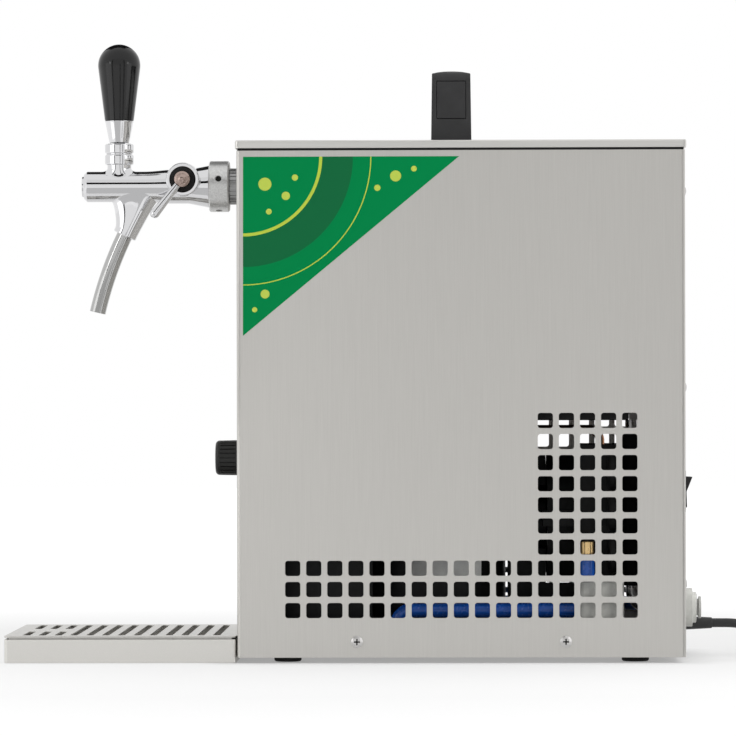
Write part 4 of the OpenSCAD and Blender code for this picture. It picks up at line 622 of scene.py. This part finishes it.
tapEdges = {
    "tap_shank": ("shadedThreadSteel", 0.25),
    "union_nut": ("nutZinc", 0.5),
    "shank_backnut": ("brightSteel", 0.4),
    "tap_spout": ("shadedSpoutSteel", 0.3),
    "compensator_gland": ("rubberAndShadeBlack", 0.3),
    "compensator_spindle": ("rosyBrass", 0.5),
    "compensator_lever": ("tapChrome", 0.2),
    "compensator_cone": ("brightSteel", 0.2),
    "valve_piston": ("brightSteel", 0.2),
    "valve_seal": ("rubberAndShadeBlack", 0.2),
    "lever_stem": ("tapChrome", 0.0),
}
dressNodes(tapEdges)

hubDome = {
    "x": 26.0,
    "outline": [(0, 1.75), (0.9, 1.67), (1.8, 1.4), (2.6, 1.0), (3.3, 0.45), (3.8, -0.1), (4.1, -0.7)],
}
spunPiece("hubDome", hubDome["outline"], at(hubDome["x"], *tapPlace["boss"]), alongX,
          "rosyBrass", "compensator")

leverShape = {
    "bonnet": [(6.5, 385.5), (10.4, 385.5), (11.1, 386.2), (11.3, 387.4), (11.3, 392.4), (10.9, 393.4),
               (10.2, 393.75), (10.2, 394.45), (10.9, 394.8), (11.3, 395.6), (11.3, 400.9), (11.0, 401.7),
               (10.5, 402), (10.2, 401.7), (8.6, 396.3), (8.3, 387.5), (6.5, 387.5), (6.5, 385.5)],
    "ferrule": [(4.1, 402.8), (7.4, 402.7), (7.8, 403.2), (8.6, 407), (10.8, 418.5), (11.25, 419.6),
                (11.2, 420), (4.1, 420)],
    "knobBase": 420.0,
    "knobTop": 480.4,
    "knobBoreR": 4.05,
    "knobLowR": 11.4,
    "knobR": 16.6,
    "knobRim": [(-0.9, 0.0), (-0.25, 0.4), (0.0, 1.1)],  # from the low radius and the base
    "knobSteps": 24,
}


def knobOutline(cfg):
    lowR, ballR = cfg["knobLowR"], cfg["knobR"]
    ballZ = cfg["knobTop"] - ballR
    rim = [(lowR + r, cfg["knobBase"] + z) for r, z in cfg["knobRim"]]
    rise = ballZ - rim[-1][1]
    lean = math.atan2(rise, lowR) - math.acos(ballR / math.hypot(rise, lowR))
    outline = [(cfg["knobBoreR"], cfg["knobBase"])] + rim
    for i in range(cfg["knobSteps"] + 1):
        a = -lean + (math.pi / 2 + lean) * i / cfg["knobSteps"]
        outline.append((ballR * math.cos(a), ballZ + ballR * math.sin(a)))
    return outline


leverFoot = at(0, tapPlace["leverU"], 0)
spunPiece("leverBonnet", leverShape["bonnet"], leverFoot, alongZ,
          "tapChrome", "case", ("lever_bonnet",))
spunPiece("leverFerrule", leverShape["ferrule"], leverFoot, alongZ,
          "tapChrome", "lever", ("lever_ferrule",))
spunPiece("leverKnob", knobOutline(leverShape), leverFoot, alongZ,
          "knobPlastic", "lever", ("lever_knob",))
print("tap dressed")


fittingEdges = {
    "thermostat_knob": ("dialPlastic", 0.25),
    "thermostat_shaft": ("brightSteel", 0.3),
    "thermostat_nut": ("brightSteel", 0.3),
    "thermostat_body": ("blackPaint", 0.4),
    "switch_frame": ("switchPlastic", 0.5),
    "switch_rocker": ("switchPlastic", 0.6),
    "beer_inlet_body": ("fittingPlastic", 0.5),
    "beer_inlet_collet": ("colletPlastic", 0.35),
    "air_outlet_body": ("fittingPlastic", 0.5),
    "air_outlet_collet": ("colletPlastic", 0.35),
    "fitting_nuts": ("fittingPlastic", 0.4),
}
dressNodes(fittingEdges)

# black crosses on the panel screws' heads: painted shade standing in for their recesses
screwRecessShade = {"x": 98.65, "z": 16.0, "us": (91.7, 251.3), "bar": (0.2, 4.6, 1.0)}


def makeScrewRecessShade(cfg):
    bm = bmesh.new()
    for side in (-1, 1):
        for u in cfg["us"]:
            addCross(bm, cfg["bar"], at(side * cfg["x"], u, cfg["z"]), "X")
    addPiece("screwRecessShade", bm, "rubberAndShadeBlack", "case")


makeScrewRecessShade(screwRecessShade)

rearScrews = {
    "xs": (-90, 90),
    "u": 343.0,
    "zs": (60, 210, 360),
    "high": 0.9,
    "head": [(0, 1.0), (1.4, 0.97), (2.6, 0.72), (3.2, 0.36), (3.4, 0.0)],  # radius, share of the height
    "steps": 24,
    "bar": (3.4, 0.3, 0.7),
    "barAt": 0.92,  # share of the height
}


def makeRearScrews(cfg):
    bm = bmesh.new()
    head = [(r, cfg["high"] * share) for r, share in cfg["head"]]
    for z in cfg["zs"]:
        for x in cfg["xs"]:
            spinInto(bm, head, at(x, cfg["u"], z), alongY, cfg["steps"])
            addCross(bm, cfg["bar"], at(x, cfg["u"] + cfg["high"] * cfg["barAt"], z), "Y")
    bmesh.ops.recalc_face_normals(bm, faces=bm.faces)
    addPiece("rearScrews", bm, "brightSteel", "case")


makeRearScrews(rearScrews)
print("fittings dressed")


coolingEdges = {
    "compressor_shell": ("blackPaint", 1.0),
    "compressor_bracket": ("blackPaint", 0.5),
    "compressor_mounts": ("footRubber", 0.6),
    "terminal_box": ("switchPlastic", 0.8),
    "condenser_fins": ("finPaint", 0.0),
    "condenser_tubes": ("finPaint", 0.0),
    "fan_shroud": ("finPaint", 0.4),
    "fan_motor": ("blackPaint", 0.6),
    "fan_blades": ("switchPlastic", 0.25),
    "air_pump": ("pumpPlastic", 1.2),
    "air_hose": ("hosePlastic", 0.0),
    "insulated_block": ("foamSkin", 1.5),
    "refrigerant_pipes": ("copperTube", 0.0),
    "beer_pipes": ("brightSteel", 0.0),
}
dressNodes(coolingEdges)

riserCap = {
    "x": 86.5,
    "u": 268.0,
    "outline": [(5.55, 82.5), (5.9, 82.5), (5.9, 91.8), (5.3, 92.4), (0, 92.4)],
}
spunPiece("riserCap", riserCap["outline"], at(riserCap["x"], riserCap["u"], 0), alongZ,
          "brassCap", "case")

pipeSleeve = {
    "x": 20.0,
    "u": 304.0,
    "outline": [(4.8, 56.0), (7.2, 56.0), (7.5, 56.4), (7.5, 175.6), (7.2, 176.0), (4.8, 176.0)],
}
spunPiece("pipeSleeve", pipeSleeve["outline"], at(pipeSleeve["x"], pipeSleeve["u"], 0), alongZ,
          "foamSkin", "case")

plainLabel = {
    "mid": (-8.0, 150.0),
    "r": 56.25,
    "low": 60.5,
    "high": 79.5,
    "from": -20.0,  # degrees about the compressor
    "to": 41.0,
    "steps": 20,
    "thick": 0.2,
}


def makePlainLabel(cfg):
    bm = bmesh.new()
    mid = at(*cfg["mid"], 0)
    first = math.radians(cfg["from"])
    foot = mid + Vector((math.cos(first), math.sin(first), 0)) * (cfg["r"] * mm)
    low = bm.verts.new(foot + alongZ * (cfg["low"] * mm))
    high = bm.verts.new(foot + alongZ * (cfg["high"] * mm))
    edge = bm.edges.new((low, high))
    sweep = math.radians(cfg["to"] - cfg["from"])
    bmesh.ops.spin(bm, geom=[low, high, edge], cent=mid, axis=alongZ, angle=sweep, steps=cfg["steps"])
    bmesh.ops.recalc_face_normals(bm, faces=bm.faces)
    bmesh.ops.solidify(bm, geom=bm.faces[:], thickness=cfg["thick"] * mm)
    bmesh.ops.recalc_face_normals(bm, faces=bm.faces)
    addPiece("compressorLabel", bm, "labelPaper", "case")


makePlainLabel(plainLabel)
print("cooling unit dressed")


decalShape = {
    "corners": [(5.3, 387.0), (170.6, 387.0), (5.0, 250.0)],
    "plane": 97.5,
    "thick": 0.14,
    "green": (0.0, 0.171, 0.047),
    "deep": (0.006, 0.105, 0.036),
    "lime": (0.375, 0.465, 0.052),
    "arcMid": (5.0, 387.0),
    "arcReach": 0.2,  # m, the length of the colour ramp
    # radius at which each ink starts
    "arcs": [(0.0, "green"), (58.0, "lime"), (60.2, "deep"), (84.0, "green"), (97.0, "lime"),
             (98.2, "green")],
    # u, z and radius
    "dots": [(22.0, 366.0, 5.0), (38.0, 357.0, 3.2), (25.0, 345.0, 2.2), (45.0, 371.0, 2.4),
             (122.0, 372.0, 4.2), (136.0, 377.5, 2.2), (108.0, 363.0, 2.4), (22.0, 282.0, 3.4),
             (14.0, 270.0, 2.0)],
    "dotHigh": 0.06,
    "dotSteps": 28,
    "grain": (300.0, 300.0, 300.0),
    "grainDetail": 3.0,
    "inkRough": 0.45,
    "inkRange": (0.40, 0.52),
    "inkGloss": 0.05,
    "dotRough": 0.34,
    "dotRange": (0.30, 0.40),
}


def makeDecalInk(cfg):
    tree, shader = newFinish("decalInk", cfg["green"], 0.0, cfg["inkRough"])
    shader.inputs["Specular IOR Level"].default_value = cfg["inkGloss"]
    coord = tree.nodes.new("ShaderNodeTexCoord")
    place = tree.nodes.new("ShaderNodeMapping")
    mid = at(0, *cfg["arcMid"])
    scale = 1 / cfg["arcReach"]
    place.inputs["Location"].default_value = (0, -mid.y * scale, -mid.z * scale)
    place.inputs["Scale"].default_value = (0, scale, scale)
    length = tree.nodes.new("ShaderNodeVectorMath")
    length.operation = "LENGTH"
    tree.links.new(coord.outputs["Object"], place.inputs["Vector"])
    tree.links.new(place.outputs["Vector"], length.inputs[0])
    stops = [(radius * mm * scale, cfg[ink]) for radius, ink in cfg["arcs"]]
    colours = rampOn(tree, length.outputs["Value"], stops, "CONSTANT")
    tree.links.new(colours, shader.inputs["Base Color"])
    varyRoughness(tree, shader, noiseOn(tree, cfg["grain"], cfg["grainDetail"]), *cfg["inkRange"])


def makeDotInk(cfg):
    tree, shader = newFinish("decalDots", cfg["lime"], 0.0, cfg["dotRough"])
    varyRoughness(tree, shader, noiseOn(tree, cfg["grain"], cfg["grainDetail"]), *cfg["dotRange"])


def makeDecal(cfg):
    bm = bmesh.new()
    face = bm.faces.new([bm.verts.new(at(cfg["plane"], u, z)) for u, z in cfg["corners"]])
    grown = bmesh.ops.extrude_face_region(bm, geom=[face])
    raised = [g for g in grown["geom"] if isinstance(g, bmesh.types.BMVert)]
    bmesh.ops.translate(bm, verts=raised, vec=(cfg["thick"] * mm, 0, 0))
    bmesh.ops.recalc_face_normals(bm, faces=bm.faces)
    addPiece("cornerDecal", bm, "decalInk", "case")
    dots = bmesh.new()
    for u, z, r in cfg["dots"]:
        disc = [(0, cfg["dotHigh"]), (r, cfg["dotHigh"]), (r, 0)]
        spinInto(dots, disc, at(cfg["plane"] + cfg["thick"], u, z), alongX, cfg["dotSteps"])
    bmesh.ops.recalc_face_normals(dots, faces=dots.faces)
    addPiece("decalDots", dots, "decalDots", "case")


makeDecalInk(decalShape)
makeDotInk(decalShape)
makeDecal(decalShape)
print("decal laid")


studio = {
    "floorSize": 14.0,
    "floorDrop": 0.0004,
    "floorTone": 0.60,
    "floorRough": 0.9,
    "floorWhite": 1.10,
    # share of white glow by distance in m from the case. The glow drops near the case, which paints shade
    # around it and also lets its real shadow show there
    "floorGlowAndShade": [(0.0, 0.27), (0.03, 0.48), (0.42, 0.55), (1.0, 1.0)],
    "footMid": (0.0, 0.077, 0.0),
    "footHalf": (0.098, 0.172, 1.0),
    "world": 0.52,
    "worldSeen": 1.0,
    "lamps": [
        {"name": "leftBox", "place": (0.63, -1.16, 0.53), "size": (0.75, 1.0), "power": 12.5},
        {"name": "rightBox", "place": (0.56, 0.86, 0.53), "size": (0.55, 1.0), "power": 9.0},
        {"name": "topLamp", "place": (-0.45, 0.05, 2.3), "size": (2.0, 1.8), "power": 20},
    ],
    "aim": (0.0, -0.08, 0.34),
    # glowing cards that only glossy rays see, so they give the glossy parts highlights and dark
    # reflections and light nothing else:
    # x and z of the low and the high edge, ends along y, swing of the far end in x, and tone
    "cards": {
        "leftShine": ((0.306, 0.03), (0.306, 0.66), (-1.349, -0.971), 0.648, 1.6),
        "rightShine": ((0.796, 0.03), (0.796, 0.66), (0.72, 1.0), -0.472, 1.5),
        "frontCard": ((0.62, 0.555), (0.56, 0.70), (-0.50, 0.02), 0.0, 0.012),
        "backCard": ((-0.52, 0.68), (-0.17, 0.96), (-0.45, -0.05), 0.0, 0.02),
        "knobCard": ((0.15, 0.476), (0.15, 0.56), (-0.28, -0.12), 0.0, 0.9),
        "middleFlag": ((1.5, 0.0), (1.5, 1.3), (0.01, 0.11), 0.0, 0.05),
        "leftFlag": ((1.0, 0.0), (1.0, 1.1), (-0.96, -0.82), 0.0, 0.05),
        "rightFlag": ((1.0, 0.0), (1.0, 1.1), (0.34, 0.50), 0.0, 0.32),
        "lowCard": ((0.15, 0.178), (0.28, 0.328), (-0.41, -0.12), 0.0, 0.66),
        "leftGlint": ((0.69, 0.60), (0.69, 0.80), (-1.06, -0.98), 0.135, 4.0),
        "rightGlint": ((0.74, 0.60), (0.74, 0.74), (0.62, 0.75), -0.12, 4.0),
        "rearFlag": ((0.115, 0.0), (0.115, 0.42), (0.254, 0.318), 0.0, 0.42),
    },
}


# 1 for the rays that see the white of the studio, 0 for those that only light the object
def rayToWhite(tree):
    path = tree.nodes.new("ShaderNodeLightPath")
    total = path.outputs["Is Camera Ray"]
    for ray in ("Is Glossy Ray", "Is Transmission Ray"):
        most = tree.nodes.new("ShaderNodeMath")
        most.operation = "MAXIMUM"
        tree.links.new(total, most.inputs[0])
        tree.links.new(path.outputs[ray], most.inputs[1])
        total = most.outputs["Value"]
    return total


# the floor's glow share, lower near the case: painted shade around it
def glowAndShadeByDistance(tree, cfg):
    link = tree.nodes.new("ShaderNodeTexCoord").outputs["Object"]
    steps = [("SUBTRACT", cfg["footMid"]), ("ABSOLUTE", None), ("SUBTRACT", cfg["footHalf"]),
             ("MAXIMUM", (0, 0, 0)), ("LENGTH", None)]
    for operation, value in steps:
        step = tree.nodes.new("ShaderNodeVectorMath")
        step.operation = operation
        tree.links.new(link, step.inputs[0])
        if value:
            step.inputs[1].default_value = value
        link = step.outputs["Value" if operation == "LENGTH" else "Vector"]
    return rampOn(tree, link, [(reach, (glow,) * 3) for reach, glow in cfg["floorGlowAndShade"]])


def makeFloor(cfg):
    tree, shader = newFinish("paleFloor", (cfg["floorTone"],) * 3, 0.0, cfg["floorRough"])
    glow = tree.nodes.new("ShaderNodeEmission")
    glow.inputs["Strength"].default_value = cfg["floorWhite"]
    share = tree.nodes.new("ShaderNodeMath")
    share.operation = "MULTIPLY"
    mix = tree.nodes.new("ShaderNodeMixShader")
    tree.links.new(rayToWhite(tree), share.inputs[0])
    tree.links.new(glowAndShadeByDistance(tree, cfg), share.inputs[1])
    tree.links.new(share.outputs["Value"], mix.inputs["Fac"])
    tree.links.new(shader.outputs["BSDF"], mix.inputs[1])
    tree.links.new(glow.outputs["Emission"], mix.inputs[2])
    tree.links.new(mix.outputs["Shader"], tree.nodes["Material Output"].inputs["Surface"])
    bm = bmesh.new()
    bmesh.ops.create_grid(bm, x_segments=2, y_segments=2, size=cfg["floorSize"] / 2)
    floor = objectFrom("floor", bm, "paleFloor")
    floor.location.z = -cfg["floorDrop"]


def makeWorld(cfg):
    world = bpy.data.worlds.new("studioWorld")
    scene.world = world
    world.use_nodes = True
    tree = world.node_tree
    light = tree.nodes["Background"]
    light.inputs["Color"].default_value = (1, 1, 1, 1)
    light.inputs["Strength"].default_value = cfg["world"]
    white = tree.nodes.new("ShaderNodeBackground")
    white.inputs["Color"].default_value = (1, 1, 1, 1)
    white.inputs["Strength"].default_value = cfg["worldSeen"]
    mix = tree.nodes.new("ShaderNodeMixShader")
    tree.links.new(rayToWhite(tree), mix.inputs["Fac"])
    tree.links.new(light.outputs["Background"], mix.inputs[1])
    tree.links.new(white.outputs["Background"], mix.inputs[2])
    tree.links.new(mix.outputs["Shader"], tree.nodes["World Output"].inputs["Surface"])


def makeLamps(cfg):
    for lamp in cfg["lamps"]:
        data = bpy.data.lights.new(lamp["name"], "AREA")
        data.shape = "RECTANGLE"
        data.size, data.size_y = lamp["size"]
        data.energy = lamp["power"]
        obj = linked(lamp["name"], data)
        obj.location = lamp["place"]
        obj.visible_glossy = obj.visible_camera = False
        ahead = Vector(cfg["aim"]) - Vector(lamp["place"])
        obj.rotation_euler = ahead.to_track_quat("-Z", "Y").to_euler()


def makeCards(cfg):
    for name, (low, high, ends, swing, tone) in cfg["cards"].items():
        (lowX, lowZ), (highX, highZ), (fromY, toY) = low, high, ends
        bm = bmesh.new()
        corners = [(lowX, fromY, lowZ), (lowX + swing, toY, lowZ),
                   (highX + swing, toY, highZ), (highX, fromY, highZ)]
        bm.faces.new([bm.verts.new(c) for c in corners])
        _, shader = newFinish(name + "Emitter", (0.0, 0.0, 0.0), 0.0, 1.0)
        shader.inputs["Specular IOR Level"].default_value = 0.0
        shader.inputs["Emission Color"].default_value = (1, 1, 1, 1)
        # the card's glow, seen only in reflections
        shader.inputs["Emission Strength"].default_value = tone
        card = objectFrom(name, bm, name + "Emitter")
        card.visible_camera = card.visible_diffuse = card.visible_shadow = False


makeFloor(studio)
makeWorld(studio)
makeLamps(studio)
makeCards(studio)
print("studio lit")
